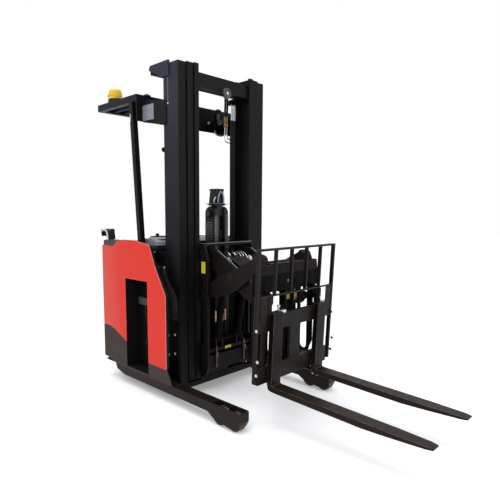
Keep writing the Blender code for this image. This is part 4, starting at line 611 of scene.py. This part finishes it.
def blown_pad(name, node, shrink, cap, seam_height, moments=20, stitches=72):
    """Cushion inside a CAD solid's box: its shell is blown up, held in the box, and piped along a seam."""
    low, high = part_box(node)
    bm = bmesh.new()
    bm.from_mesh(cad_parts[node].data)
    bmesh.ops.remove_doubles(bm, verts=bm.verts, dist=0.00005)
    middle = (low + high) / 2
    size = high - low
    for v in bm.verts:
        for axis in range(3):
            half = size[axis] / 2
            v.co[axis] = middle[axis] + (v.co[axis] - middle[axis]) * (half - shrink) / half
    mesh = bpy.data.meshes.new(name)
    bm.to_mesh(mesh)
    bm.free()
    made = placed(name, mesh)
    remesh = made.modifiers.new("even", "REMESH")
    remesh.mode = "VOXEL"
    remesh.voxel_size = 0.0055
    keep_result(made)
    start = [v.co.copy() for v in made.data.vertices]
    cloth = made.modifiers.new("cover", "CLOTH")
    cloth.settings.use_pressure = True
    cloth.settings.uniform_pressure_force = 4.0
    cloth.settings.effector_weights.gravity = 0.0
    cloth.point_cache.frame_start = 1
    cloth.point_cache.frame_end = moments
    for moment in range(1, moments + 1):
        bpy.context.scene.frame_set(moment)
    keep_result(made)
    bpy.context.scene.frame_set(1)
    for v, origin in zip(made.data.vertices, start):
        move = v.co - origin
        if move.length > cap:
            v.co = origin + move * (cap / move.length)
        for axis in range(3):
            v.co[axis] = min(max(v.co[axis], low[axis]), high[axis])
    finer = made.modifiers.new("finer", "SUBSURF")
    finer.levels = finer.render_levels = 1
    keep_result(made)
    made.data.materials.clear()
    made.data.materials.append(pad_vinyl)
    made.data.shade_smooth()
    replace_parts(finished(made, "truck"), node)
    shell = BVHTree.FromObject(made, bpy.context.evaluated_depsgraph_get())
    thin = min(range(3), key=lambda axis: size[axis])
    flat = 2 if thin != 1 else 1
    one, two = [axis for axis in range(3) if axis != flat]
    seam = []
    for k in range(stitches):
        angle = math.tau * k / stitches
        way = Vector((0, 0, 0))
        way[one], way[two] = math.cos(angle), math.sin(angle)
        target = Vector(middle)
        target[flat] = low[flat] + size[flat] * seam_height
        reach = min(size[axis] / 2 / max(abs(way[axis]), 0.0001) for axis in (one, two))
        away = target + way * (reach + 0.05)
        found = shell.ray_cast(away, -way)[0]
        seam.append(found - way * 0.0008 - Vector((FACE, 0, 0)))
    bm = bmesh.new()
    hose(bm, seam, 0.0022, 8, 2, True)
    mesh_piece(name + "_piping", bm, piping, "truck")


blown_pad("arm_cushion_right", "arm_pad_right", 0.006, 0.008, 0.8)
blown_pad("arm_cushion_left", "arm_pad_left", 0.006, 0.008, 0.8)
blown_pad("back_cushion", "back_pad", 0.005, 0.008, 0.55)


# Overhead guard and beacon
# Welded tube and plate in satin black, painted bluer towards the top as a sky reflection. A blank data
# plate, a work lamp and its bracket hang on the header, and the beacon's lens is ribbed over a black foot.

# Bluer towards the top: a painted sky reflection.
guard_paint = paint("guard_paint", (0.0036, 0.0034, 0.0036), (0.007, 0.008, 0.02), 0.44, 0.12,
                    edge=(0.03, 0.03, 0.05), change=(2.3, 2.42))
coat(guard_paint, "overhead_guard", "guard_post_left", "guard_post_right")
beacon_yellow = moulding("beacon_yellow", (0.86, 0.55, 0.02), 0.3, 500.0, 0.15, 0.4)
coat(beacon_yellow, "beacon")
low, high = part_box("beacon")
centre, radius = (low + high) / 2, (high.x - low.x) / 2
part("beacon_foot", dark_plastic, "truck", "dark_plastic",
     (turned, (centre.x - FACE, centre.y, low.z + 0.0004), (0, 0, 1), [(radius - 0.004, 0),
      (radius + 0.0015, 0), (radius + 0.0015, 0.034), (radius + 0.0005, 0.037), (radius - 0.004, 0.037)],
      40))
ribs = [((centre.x + (radius - 0.001) * math.cos(math.tau * k / 36),
          centre.y + (radius - 0.001) * math.sin(math.tau * k / 36), low.z + 0.066),
         (math.cos(math.tau * k / 36), math.sin(math.tau * k / 36), 0)) for k in range(36)]
baked("beacon_ribs", bars, ribs, {"Size": (0.046, 0.0025, 0.0022)}, beacon_yellow, "truck")
plate_grey = steel("plate_grey", (0.25, 0.27, 0.31), 0.42, (1.0, 30.0, 1.0), 0.3)
header_front = -0.447
part("data_plate", plate_grey, "truck", "bare_steel",
     (slab, (header_front, -0.4906, 2.206), (-0.3, -0.4884, 2.326), 0.0008, 1))
places = [(header_front + 0.0005, y, 2.285) for y in (0.233, -0.3)]
driven("header_screws", places, (1, 0, 0), "truck", 0.01, 0.007)
part("work_lamp", glass_black, "truck", "dark_plastic",
     (turned, (header_front - 0.0003, 0.335, 2.246), (1, 0, 0), [(0, 0), (0.03, 0), (0.058, 0.01),
      (0.07, 0.024), (0.074, 0.04), (0.074, 0.052), (0.066, 0.054), (0.064, 0.046), (0.05, 0.05),
      (0.03, 0.052), (0, 0.053)], 40),
     (slab, (-0.4485, 0.315, 2.29), (-0.432, 0.355, 2.38), 0.003))
part("guard_caps", rubber, "truck", "dark_plastic",
     *((turned, (x, y, 2.4122), (0, 0, 1), [(0, 0.02), (0.014, 0.018), (0.026, 0.012), (0.033, 0.003),
       (0.034, 0), (0, 0)], 24) for x, y in ((-0.47, 0.37), (-0.47, -0.43))))
part("post_trims", zinc, "truck", "bare_steel",
     *((slab, (x, side * 0.5557 - 0.0009, 2.205), (x + 0.012, side * 0.5557 + 0.0009, 2.265), 0.0006, 1)
       for side, x in ((RIGHT, -0.532), (LEFT, -0.344))))


# Mast
# Rolled channels in satin black, one stage in the next. Their paint grows lighter and bluer towards the top,
# a painted sky reflection, and the faces inside the outer webs are darker, a painted shade. A hose pulley
# hangs at the head of the inner stage; the hoses behind it end in brass fittings and bent pipes.

# Lighter and bluer towards the top: a painted sky reflection. Faces inside the outer webs are darker: painted
# shade.
mast_paint = paint("mast_paint", (0.0019, 0.0015, 0.0012), (0.033, 0.034, 0.052), 0.42, 0.1,
                   edge=(0.024, 0.022, 0.028), change=(1.0, 2.6), inner_shade=(0.4772, (0.005, 0.0046, 0.005)))
coat(mast_paint, "mast_outer", "mast_middle", "mast_inner", "lift_cylinders", "free_lift_cylinder",
     "tilt_cylinder")
# The reach tubes take the same near-black: painted shade among the scissor arms.
coat(shade_black, "reach_tubes")
chrome = steel("chrome", (0.62, 0.62, 0.63), 0.14)
coat(chrome, "lift_rods", "reach_rods")
brass = steel("brass", (0.24, 0.165, 0.06), 0.34)
oiled_steel = steel("oiled_steel", (0.05, 0.046, 0.044), 0.42)
pale_plate = moulding("pale_plate", (0.72, 0.73, 0.75), 0.45, 300.0, 0.1, 0.3)

hose_x, pipe_x = -0.1625, -0.197
pulley_grey = steel("pulley_grey", (0.085, 0.095, 0.085), 0.4)
part("hose_pulley", pulley_grey, "mast_inner", "bare_steel",
     (turned, (-0.0175, 0.026, 2.434), (1, 0, 0), [(0, 0), (0.043, 0), (0.044, 0.003), (0.038, 0.006),
      (0.038, 0.012), (0.044, 0.015), (0.043, 0.018), (0.03, 0.018), (0.029, 0.0155), (0.014, 0.0155),
      (0.013, 0.02), (0, 0.02)], 36))
driven("pulley_screw", [(0.0022, 0.026, 2.434)], (1, 0, 0), "mast_inner", 0.009, 0.006)
for side, word in SIDES:
    part("mast_hoses_" + word, rubber, "mast_inner", "dark_plastic",
         *((hose, [(hose_x, side * y, 2.3), (hose_x, side * y, 1.7), (hose_x, side * y, 0.9),
           (hose_x, side * y, 0.178)], 0.0078, 10, 2) for y in (0.229, 0.245, 0.261, 0.277)))
    part("hose_ferrules_" + word, pale_plate if side == LEFT else zinc, "mast_inner", "chrome",
         *((turned, (-0.153, side * y, 2.27), (0, 0, 1), [(0, 0), (0.0068, 0), (0.0068, 0.1),
           (0.005, 0.104), (0.005, 0.13), (0, 0.13)], 14) for y in (0.229, 0.249, 0.269)))
    part("hose_bracket_" + word, mast_paint, "mast_inner", "black_paint",
         (slab, (-0.17, side * 0.243 - 0.036, 2.392), (-0.1545, side * 0.243 + 0.044, 2.432), 0.003),
         (slab, (-0.17, side * 0.243 - 0.03, 2.428), (-0.108, side * 0.243 + 0.03, 2.44), 0.003))

part("head_hoses", rubber, "mast_middle", "dark_plastic",
     *((hose, [(-0.196, y, 2.468), (-0.196, y, 2.4), (pipe_x, y - 0.004, 2.32),
       (pipe_x, y - 0.006, 2.3)], 0.009) for y in (0.196, 0.222)))
part("head_fittings", brass, "mast_middle", "bare_steel",
     *((turned, (pipe_x, y, 2.205), (0, 0, 1), [(0, 0), (0.008, 0), (0.008, 0.016), (0.0125, 0.018),
       (0.0125, 0.04), (0.009, 0.042), (0.009, 0.062), (0.0125, 0.064), (0.0125, 0.084), (0.009, 0.086),
       (0.009, 0.098), (0, 0.098)], 12) for y in (0.19, 0.216)))
part("head_pipes", chrome, "mast_middle", "chrome",
     (hose, [(pipe_x, 0.19, 2.207), (pipe_x, 0.19, 2.13), (pipe_x, 0.196, 2.098), (pipe_x, 0.222, 2.086),
      (pipe_x, 0.3, 2.082)], 0.0048),
     (hose, [(pipe_x, 0.216, 2.207), (pipe_x, 0.216, 2.155), (pipe_x, 0.224, 2.126), (pipe_x, 0.246, 2.116),
      (pipe_x, 0.3, 2.112)], 0.0048))
part("pipe_clamp", mast_paint, "mast_middle", "black_paint",
     (slab, (-0.206, 0.296, 2.066), (-0.18, 0.345, 2.128), 0.003),
     (slab, (-0.206, 0.335, 2.066), (-0.18, 0.443, 2.076), 0.003))

part("foot_apron", mast_paint, "truck", "black_paint",
     (slab, (-0.2, -0.47, 0.045), (-0.1862, 0.47, 0.092), 0.002))

web_face = 0.4781
for side, word in SIDES:
    driven("mast_screws_" + word, [(-0.087, side * web_face, 2.118), (-0.041, side * web_face, 2.018)],
           (0, side, 0), "truck", 0.007, 0.005, oiled_steel)
    driven("trim_screw_" + word, [(-0.133, side * web_face, 2.3)], (0, side, 0), "truck", 0.006, 0.005)
    part("mast_trim_" + word, plate_grey, "truck", "bare_steel",
         (slab, (-0.1315, side * (web_face + 0.0012) - 0.0012, 2.312),
          (-0.1285, side * (web_face + 0.0012) + 0.0012, 2.486), 0.0006, 1))
    part("mast_stop_" + word, rubber, "truck", "dark_plastic",
         (turned, (-0.1855, side * 0.47, 1.962), (-1, 0, 0), [(0, 0), (0.006, 0), (0.006, 0.008),
          (0.017, 0.01), (0.019, 0.014), (0.019, 0.02), (0.015, 0.024), (0, 0.025)], 20))


# Body shoulder covers
# Bolted steel plates between the red doors and the mast, under a moulded cover of gloss black plastic
# that swells in its middle.

BODY_PLATE = 0.4887
gloss_plastic = moulding("gloss_plastic", (0.011, 0.0115, 0.014), 0.34, 900.0, 0.015, 0.45)


def bulged_cover(name, side):
    """Moulded cover on the body plate: its middle swells outwards over a flat rim."""
    bm = bmesh.new()
    rim = [(-0.318, 1.06), (-0.17, 1.06), (-0.168, 0.98), (-0.11, 0.918), (-0.046, 0.842), (-0.03, 0.76),
           (-0.03, 0.64), (-0.318, 0.64)]
    middle = (-0.2, 0.82)
    rings = []
    for share, lift in ((1.0, 0), (1.0, 0.003), (0.93, 0.0045), (0.84, 0.01), (0.68, 0.0135),
                        (0.35, 0.0155)):
        rings.append([bm.verts.new((FACE + middle[0] + (x - middle[0]) * share, side * (BODY_PLATE + lift),
                                    middle[1] + (z - middle[1]) * share)) for x, z in rim])
    skin(bm, rings)
    return mesh_piece(name, bm, gloss_plastic, "truck", 50.0)


for side, word in SIDES:
    bulged_cover("shoulder_cover_" + word, side)
    driven("body_screws_" + word, [(-0.264, side * 0.4918, 1.041), (-0.19, side * 0.4918, 1.041),
                                   (-0.145, side * BODY_PLATE, 0.341), (-0.069, side * BODY_PLATE, 0.367),
                                   (-0.145, side * BODY_PLATE, 0.5), (-0.069, side * BODY_PLATE, 0.52)],
           (0, side, 0), "truck", 0.008, 0.006)
    driven("cover_screw_" + word, [(-0.322, side * BODY_PLATE, 1.172)], (0, side, 0), "truck", 0.015, 0.012,
           pale_plate)


# Free-lift head and chains
# The crosshead over the ram is near-black cast steel with leaf chains over two sheaves. Braided hoses
# arch over it, and an olive steel plug closes each sheave's hub.

def chain_tree():
    """Leaf chain along an edge: a link plate and a pin at every pitch, all facing one way."""
    tree, given, result = start_tree("leaf_chain", ("Pitch",), ("Plate",))
    curve = put(tree, "GeometryNodeMeshToCurve", None, Mesh=given["Spots"])
    beads = put(tree, "GeometryNodeCurveToPoints", {"mode": "LENGTH"}, Curve=curve.outputs[0],
                Length=given["Pitch"])
    plate = put(tree, "GeometryNodeMeshCube", None, Size=given["Plate"])
    pin = put(tree, "GeometryNodeMeshCylinder", None, Vertices=8,
              Radius=reckon(tree, "MULTIPLY", given["Pitch"], 0.16),
              Depth=reckon(tree, "MULTIPLY", given["Pitch"], 0.5))
    joined = put(tree, "GeometryNodeJoinGeometry")
    for shape in (plate, pin):
        tree.links.new(shape.outputs["Mesh"], joined.inputs[0])
    lay_on_spots(tree, given, result, joined.outputs[0], beads.outputs["Points"])
    return tree


links = chain_tree()
head_black = paint("head_black", (0.0065, 0.006, 0.006), (0.0075, 0.0072, 0.008), 0.42, 0.25,
                   edge=(0.055, 0.05, 0.05))
coat(head_black, "free_lift_ram")
coat(oiled_steel, "lift_chains")
for side, word in SIDES:
    for place, x, low, high, way, body in (("rear", -0.1612, 1.0, 1.466, -1, "lift_head"),
                                           ("front", -0.0408, 0.965, 1.466, 1, "lift_head"),
                                           ("low", -0.0272, 0.408, 0.975, 1, "reach_support")):
        y = side * 0.055
        spots = [((FACE + x, y, low), (way, 0, 0)), ((FACE + x, y, high), (way, 0, 0))]
        values = {"Pitch": 0.0127, "Plate": (0.0098, 0.036, 0.0022)}
        baked("chain_" + place + "_" + word, links, spots, values, oiled_steel, body, [(0, 1)])

sheave_x, sheave_face, sheave_z = -0.1, 0.0878, 1.47
plug_olive = steel("plug_olive", (0.085, 0.078, 0.036), 0.4)
for side, word in SIDES:
    part("sheave_ring_" + word, dull_black, "lift_head", "black_paint",
         (turned, (sheave_x, side * sheave_face, sheave_z), (0, side, 0), [(0, 0), (0.034, 0),
          (0.036, 0.002), (0.036, 0.006), (0.03, 0.009), (0.022, 0.009), (0.021, 0.005), (0, 0.005)], 32))
    part("sheave_plug_" + word, plug_olive, "lift_head", "bare_steel",
         (turned, (sheave_x, side * sheave_face, sheave_z), (0, side, 0), [(0, 0.013), (0.01, 0.013),
          (0.013, 0.011), (0.02, 0.011), (0.02, 0.004), (0, 0.004)], 28))
blue_braid = steel("blue_braid", (0.22, 0.26, 0.33), 0.34)
part("head_arches", blue_braid, "lift_head", "chrome",
     (hose, [(-0.058, -0.03, 1.56), (-0.054, -0.026, 1.61), (-0.056, -0.004, 1.645),
      (-0.06, 0.014, 1.652)], 0.0075),
     (hose, [(-0.058, 0.036, 1.552), (-0.053, 0.034, 1.6), (-0.055, 0.02, 1.638), (-0.06, 0.002, 1.652)],
      0.0075))
part("head_loop", chrome, "lift_head", "chrome",
     (hose, [(-0.062, -0.068, 1.56), (-0.052, -0.072, 1.588), (-0.052, -0.06, 1.604),
      (-0.06, -0.048, 1.606)], 0.005))
shelf_steel = steel("shelf_steel", (0.28, 0.27, 0.28), 0.4)
part("head_shelf", shelf_steel, "lift_head", "bare_steel",
     (slab, (-0.148, -0.092, 1.5495), (-0.0385, 0.092, 1.5525), 0.001, 1))
rib_steel = steel("rib_steel", (0.23, 0.22, 0.22), 0.42)
rose_steel = steel("rose_steel", (0.12, 0.088, 0.092), 0.4)
for side, word in SIDES:
    sides = [((FACE - 0.1, side * 0.0893, 1.105 + 0.017 * k), (0, side, 0)) for k in range(18)]
    front = [((FACE - 0.0395, side * 0.068, 1.105 + 0.0127 * k), (1, 0, 0)) for k in range(28)]
    for place, ribs, size in (("head", sides, (0.092, 0.006, 0.005)),
                              ("front", front, (0.0035, 0.034, 0.004))):
        baked(place + "_ribs_" + word, bars, ribs, {"Size": size}, rib_steel, "lift_head")
part("head_guides", rose_steel, "lift_head", "bare_steel",
     *((slab, (-0.0445, y, 1.29), (-0.0378, y + 0.008, 1.43), 0.001, 1) for y in (-0.08, -0.05)),
     *((slab, (-0.044, -0.078, 1.296 + 0.0127 * k), (-0.0382, -0.046, 1.3 + 0.0127 * k), 0.001, 1)
       for k in range(11)))


# Reach carriage
# Heavy flame-cut plate, arms and beams in satin brown-black with pale edges, partly rubbed to bare metal and
# partly a painted highlight. The cross box is greyer on top. Pins end in round caps, and clamped lines run
# along the arms.

reach_paint = paint("reach_paint", (0.005, 0.0032, 0.0023), (0.0085, 0.0066, 0.0062), 0.44, 0.12,
                    edge=(0.08, 0.06, 0.05), change=(0.9, 1.3))
coat(reach_paint, "reach_support", "inner_arms", "outer_arms")
carriage_paint = paint("carriage_paint", (0.0078, 0.0052, 0.004), (0.0125, 0.0098, 0.0088), 0.44, 0.12,
                       edge=(0.11, 0.084, 0.072), change=(0.7, 1.2))
coat(carriage_paint, "fork_carriage", "load_backrest")
# The forks' pale edges are partly wear and partly a painted highlight.
fork_paint = paint("fork_paint", (0.0135, 0.0078, 0.0058), (0.003, 0.0017, 0.0011), 0.4, 0.11,
                   edge=(0.34, 0.26, 0.22), change=(0.2, 0.5))
coat(fork_paint, "fork_left", "fork_right")
box_paint = paint("box_paint", (0.0014, 0.0009, 0.0007), (0.019, 0.016, 0.019), 0.5, 0.06,
                  edge=(0.08, 0.064, 0.058), change=(1.04, 1.055))
coat(box_paint, "front_frame")
ARM_HALF, FOLD = 0.3367, math.radians(27.0)
MID_X, MID_Z = 0.01 + ARM_HALF * math.cos(FOLD), 1.138 - ARM_HALF * math.sin(FOLD)


def on_arm(reach, y, height, tilt):
    """Place along an arm from its middle and square to it. Tilt is -1 on the inner arms, 1 on the outer."""
    return (MID_X + reach * math.cos(FOLD) - tilt * height * math.sin(FOLD), y,
            MID_Z + tilt * reach * math.sin(FOLD) + height * math.cos(FOLD))


for side, word in SIDES:
    bm = bmesh.new()
    x, _, z = on_arm(0, 0, 0, 1)
    turned(bm, (x, side * 0.2553, z), (0, side, 0),
           [(0, 0), (0.036, 0), (0.037, 0.0012), (0.035, 0.0028), (0.024, 0.0028), (0.022, 0.0012),
            (0.014, 0.0012), (0.013, 0.0032), (0, 0.0034)], 36)
    mesh_piece("pivot_cap_" + word, bm, reach_paint, "outer_arms")
    part("arm_pipe_" + word, plate_grey, "inner_arms", "bare_steel",
         (hose, [on_arm(s, side * 0.198, n + 0.004, -1) for s, n in ((-0.262, 0.085), (0, 0.072),
          (0.202, 0.05), (0.28, 0.046))], 0.003, 8, 4))
part("arm_hoses", rubber, "inner_arms", "dark_plastic",
     *((hose, [on_arm(-0.262, y, 0.052, -1), on_arm(-0.25, y, 0.074 + lift, -1),
       on_arm(-0.215, y, 0.081 + lift, -1), on_arm(-0.16, y, 0.072, -1),
       on_arm(-0.11, y, 0.064, -1)], 0.0062) for y, lift in ((-0.135, 0.004), (-0.118, 0), (-0.06, 0),
       (-0.042, 0.003))))
# Zinc sleeves over the crests of the arm hoses: a painted highlight on them. Three thinner zinc lines run
# along the arm.
part("arm_bright_lines", zinc, "inner_arms", "bare_steel",
     *((hose, [on_arm(-0.232, y, 0.0785, -1), on_arm(-0.21, y, 0.0825, -1),
       on_arm(-0.186, y, 0.078, -1)], 0.0064) for y in (-0.135, -0.118, -0.06, -0.042)),
     *((hose, [on_arm(-0.25, y, 0.052, -1), on_arm(-0.235, y, 0.08, -1), on_arm(-0.19, y, 0.086, -1),
       on_arm(-0.118, y, 0.064, -1), on_arm(-0.04, y, 0.058, -1)], 0.0034) for y in (-0.016, 0.016, 0.048)))
bm = bmesh.new()
corner = [on_arm(s, 0, n, -1) for s, n in ((-0.15, 0.086), (-0.015, 0.086), (-0.015, 0.09), (-0.15, 0.09))]
skin(bm, [[bm.verts.new((FACE + x, y, z)) for x, _, z in corner] for y in (-0.172, 0.01)])
for s in (-0.14, -0.025):
    for y in (-0.16, 0):
        hose(bm, [on_arm(s, y, 0.0535, -1), on_arm(s, y, 0.087, -1)], 0.005, 8, 1)
mesh_piece("arm_valve_cover", bm, box_paint, "inner_arms")

pale_copper = steel("pale_copper", (0.46, 0.29, 0.21), 0.34)
label_yellow = moulding("label_yellow", (0.62, 0.55, 0.055), 0.4, 300.0, 0.05, 0.3)
for side, word in SIDES:
    part("blank_label_" + word, label_yellow, "reach_support", "console_paint",
         *((slab, (x0, side * y - 0.0003, z0), (x0 + 0.046, side * y + 0.0003, z1), 0.0002, 1)
           for y, x0, z0, z1 in ((0.2803, 0.016, 1.0, 1.092), (0.2614, 0.04, 1.066, 1.112))))

beam_top, anchor_x = 0.372, 0.0665
row_x, hose_row = -0.01, (-0.1, -0.072, -0.044, -0.016, 0.012)
part("beam_label", label_yellow, "reach_support", "console_paint",
     (slab, (0.0601, -0.06, 0.3505), (0.0609, 0.01, 0.3715), 0.0002, 1))
bm = bmesh.new()
for y in (-0.164, 0.164):
    turned(bm, (anchor_x, y, 0.215), (0, 0, 1), [(0, 0), (0.0065, 0), (0.0065, 0.18), (0, 0.18)], 12)
    for z in (0.222, 0.236, 0.362):
        turned(bm, (anchor_x, y, z), (0, 0, 1), [(0, 0), (0.0125, 0), (0.0125, 0.01), (0, 0.01)], 6)
    slab(bm, (0.0575, y - 0.014, 0.3), (0.078, y + 0.014, 0.345), 0.002)
mesh_piece("chain_anchors", bm, rose_steel, "reach_support")
# A thin pale line along the support's top front edge: a painted highlight on that edge.
part("support_edge_highlight", plate_grey, "reach_support", "bare_steel",
     (hose, [(0.056, -0.262, 1.2345), (0.056, 0, 1.2345), (0.056, 0.262, 1.2345)], 0.0028, 8, 1))
bm = bmesh.new()
for y in hose_row:
    hose(bm, [(row_x, y, beam_top - 0.004), (row_x, y, 0.5), (row_x, y, 0.575)], 0.0045)
    hose(bm, [(row_x, y, 0.665), (row_x, y, 0.73), (row_x, y + 0.005, 0.79), (row_x, y + 0.008, 0.86)], 0.005)
mesh_piece("support_hoses", bm, rubber, "reach_support")
part("support_fittings", pale_copper, "reach_support", "bare_steel",
     *((turned, (row_x, y, 0.572), (0, 0, 1), [(0, 0), (0.007, 0), (0.007, 0.03), (0.0095, 0.032),
       (0.0095, 0.05), (0.007, 0.052), (0.007, 0.076), (0.0095, 0.078), (0.0095, 0.094), (0, 0.096)], 6)
       for y in hose_row))

valve_x = 0.653
part("tilt_valve", brass, "front_frame", "bare_steel",
     (slab, (0.638, 0.0555, 0.826), (0.668, 0.104, 0.886), 0.003),
     (slab, (0.642, -0.026, 0.84), (0.666, 0.026, 0.88), 0.003),
     *((turned, (valve_x, y, z - 0.001), (0, 0, 1), [(0, 0), (0.009, 0), (0.009, 0.012), (0.006, 0.014),
       (0.006, 0.024), (0, 0.024)], 6) for y, z in ((0.066, 0.886), (0.09, 0.886), (-0.01, 0.88),
       (0.014, 0.88))))
bm = bmesh.new()
for y in (0.066, 0.09, -0.01, 0.014):
    top = 0.906 if y > 0.05 else 0.9
    hose(bm, [(valve_x, y, top), (valve_x, y, top + 0.03), (0.652, y, 0.972)], 0.0068)
for y in (0.068, 0.098):
    hose(bm, [(valve_x, y, 0.808), (valve_x, y, 0.7), (0.65, y - 0.004, 0.56), (0.64, y - 0.01, 0.47)], 0.007)
mesh_piece("tilt_hoses", bm, rubber, "front_frame")


# Fork bars and backrest
# Flat bars welded into a frame that leans with the forks. Each fork is forged, hangs on the frame's bars
# and has a spring latch in bare steel.

def lean(bm):
    """Tips a piece on the carriage forward with the forks, about the tilt pins."""
    bmesh.ops.rotate(bm, cent=(FACE + 0.716, 0, 0.88), matrix=Matrix.Rotation(math.radians(2.4), 3, "Y"),
                     verts=bm.verts)


latch_steel = steel("latch_steel", (0.55, 0.6, 0.68), 0.3)
for name, y0, y1, pin in (("near", -0.216, -0.133, -0.205), ("far", 0.284, 0.385, 0.3)):
    bm = bmesh.new()
    slab(bm, (0.7245, y0, 0.7762), (0.756, y1, 0.799), 0.003)
    turned(bm, (0.74, pin, 0.798), (0, 0, 1),
           [(0, 0), (0.0065, 0), (0.0065, 0.024), (0.012, 0.026), (0.012, 0.036), (0.01, 0.039),
            (0, 0.039)], 20)
    lean(bm)
    mesh_piece("fork_latch_" + name, bm, latch_steel, "fork_carriage")
for side, word in SIDES:
    bm = bmesh.new()
    slab(bm, (0.7235, side * 0.345 - 0.055, 0.425), (0.7265, side * 0.345 + 0.055, 0.662), 0.001, 1)
    lean(bm)
    mesh_piece("carriage_web_" + word, bm, carriage_paint, "fork_carriage")
driven("box_screw", [(0.6895, -0.03, 0.985)], (1, 0, 0), "front_frame", 0.008, 0.005)
pale_screw = steel("pale_screw", (0.72, 0.6, 0.54), 0.36)
for side, word in SIDES:
    places = [(x, side * 0.4502, z) for x, z in ((0.749, 0.692), (0.76, 0.482), (0.749, 0.386))]
    driven("backrest_screw_" + word, places, (0, side, 0), "fork_carriage", 0.008, 0.006, pale_screw)


# Studio
# White floor that keeps the truck's shadow, white surroundings, a broad soft sun and two large lamps.
# The lamps are plain and low, so that each colour renders about as it is written.

def direct_view(tree):
    """1 for what the camera sees straight, in a mirror or through glass, else 0."""
    seen = put(tree, "ShaderNodeLightPath").outputs
    direct = reckon(tree, "MAXIMUM", seen["Is Camera Ray"], seen["Is Transmission Ray"])
    return reckon(tree, "MAXIMUM", direct, seen["Is Glossy Ray"])


floor_mesh = bpy.data.meshes.new("studio_floor")
bm = bmesh.new()
bmesh.ops.create_grid(bm, x_segments=1, y_segments=1, size=30.0)
bm.to_mesh(floor_mesh)
bm.free()
floor_paint, tree, shader, _ = new_material("studio_floor", 0.1)
fill(tree, shader, Base_Color=(0.9, 0.9, 0.905, 1.0), Roughness=0.85)
glow = put(tree, "ShaderNodeEmission", None, Color=(1.0, 1.0, 1.0, 1.0),
           Strength=graded(tree, direct_view(tree), 0, 1.0, 0, 0.25))
both = put(tree, "ShaderNodeAddShader")
for slot, source in enumerate((shader, glow)):
    tree.links.new(source.outputs[0], both.inputs[slot])
fill(tree, tree.nodes["Material Output"], Surface=both.outputs[0])
floor_mesh.materials.append(floor_paint)
placed("studio_floor", floor_mesh)

world = bpy.data.worlds.new("studio")
bpy.context.scene.world = world
world.use_nodes = True
tree = world.node_tree
tree.nodes.clear()
soft = put(tree, "ShaderNodeBackground", None, Color=(0.93, 0.95, 1.0, 1.0), Strength=0.56)
white = put(tree, "ShaderNodeBackground", None, Color=(1.0, 1.0, 1.0, 1.0), Strength=1.0)
choice = put(tree, "ShaderNodeMixShader")
for slot, source in enumerate((direct_view(tree), soft.outputs[0], white.outputs[0])):
    tree.links.new(source, choice.inputs[slot])
put(tree, "ShaderNodeOutputWorld", None, Surface=choice.outputs[0])


def lamp(name, kind, place, size, power):
    """Adds a lamp that points at the truck's middle. A sun's size is an angle in degrees."""
    light = bpy.data.lights.new(name, kind)
    light.energy = power
    if kind == "SUN":
        light.angle = math.radians(size)
    else:
        light.size = size
    holder = bpy.data.objects.new(name, light)
    holder.location = place
    holder.rotation_euler = (Vector((0, 0, 1.0)) - Vector(place)).to_track_quat("-Z", "Y").to_euler()
    bpy.context.scene.collection.objects.link(holder)


lamp("sun", "SUN", (-0.5, -0.6, 6.0), 42.0, 1.35)
lamp("key", "AREA", (1.5, -4.5, 5.0), 3.0, 105.0)
lamp("fill", "AREA", (5.0, 1.5, 4.0), 3.5, 55.0)
bpy.context.scene.view_settings.view_transform = "Standard"


# Camera
# Stands at chest height off the right front corner. Its lens and small shift frame the truck, and depth
# of field stays off.

eye = bpy.data.cameras.new("camera")
eye.sensor_width = 36.0
eye.lens = 33.63
eye.shift_x = 0.0546
eye.shift_y = 0.0307
camera = bpy.data.objects.new("camera", eye)
camera.location = (FACE + 2.7578, -2.7371, 1.4772)
camera.rotation_euler = (math.radians(90 - 6.438), 0, math.radians(45.5095))
bpy.context.scene.collection.objects.link(camera)
bpy.context.scene.camera = camera
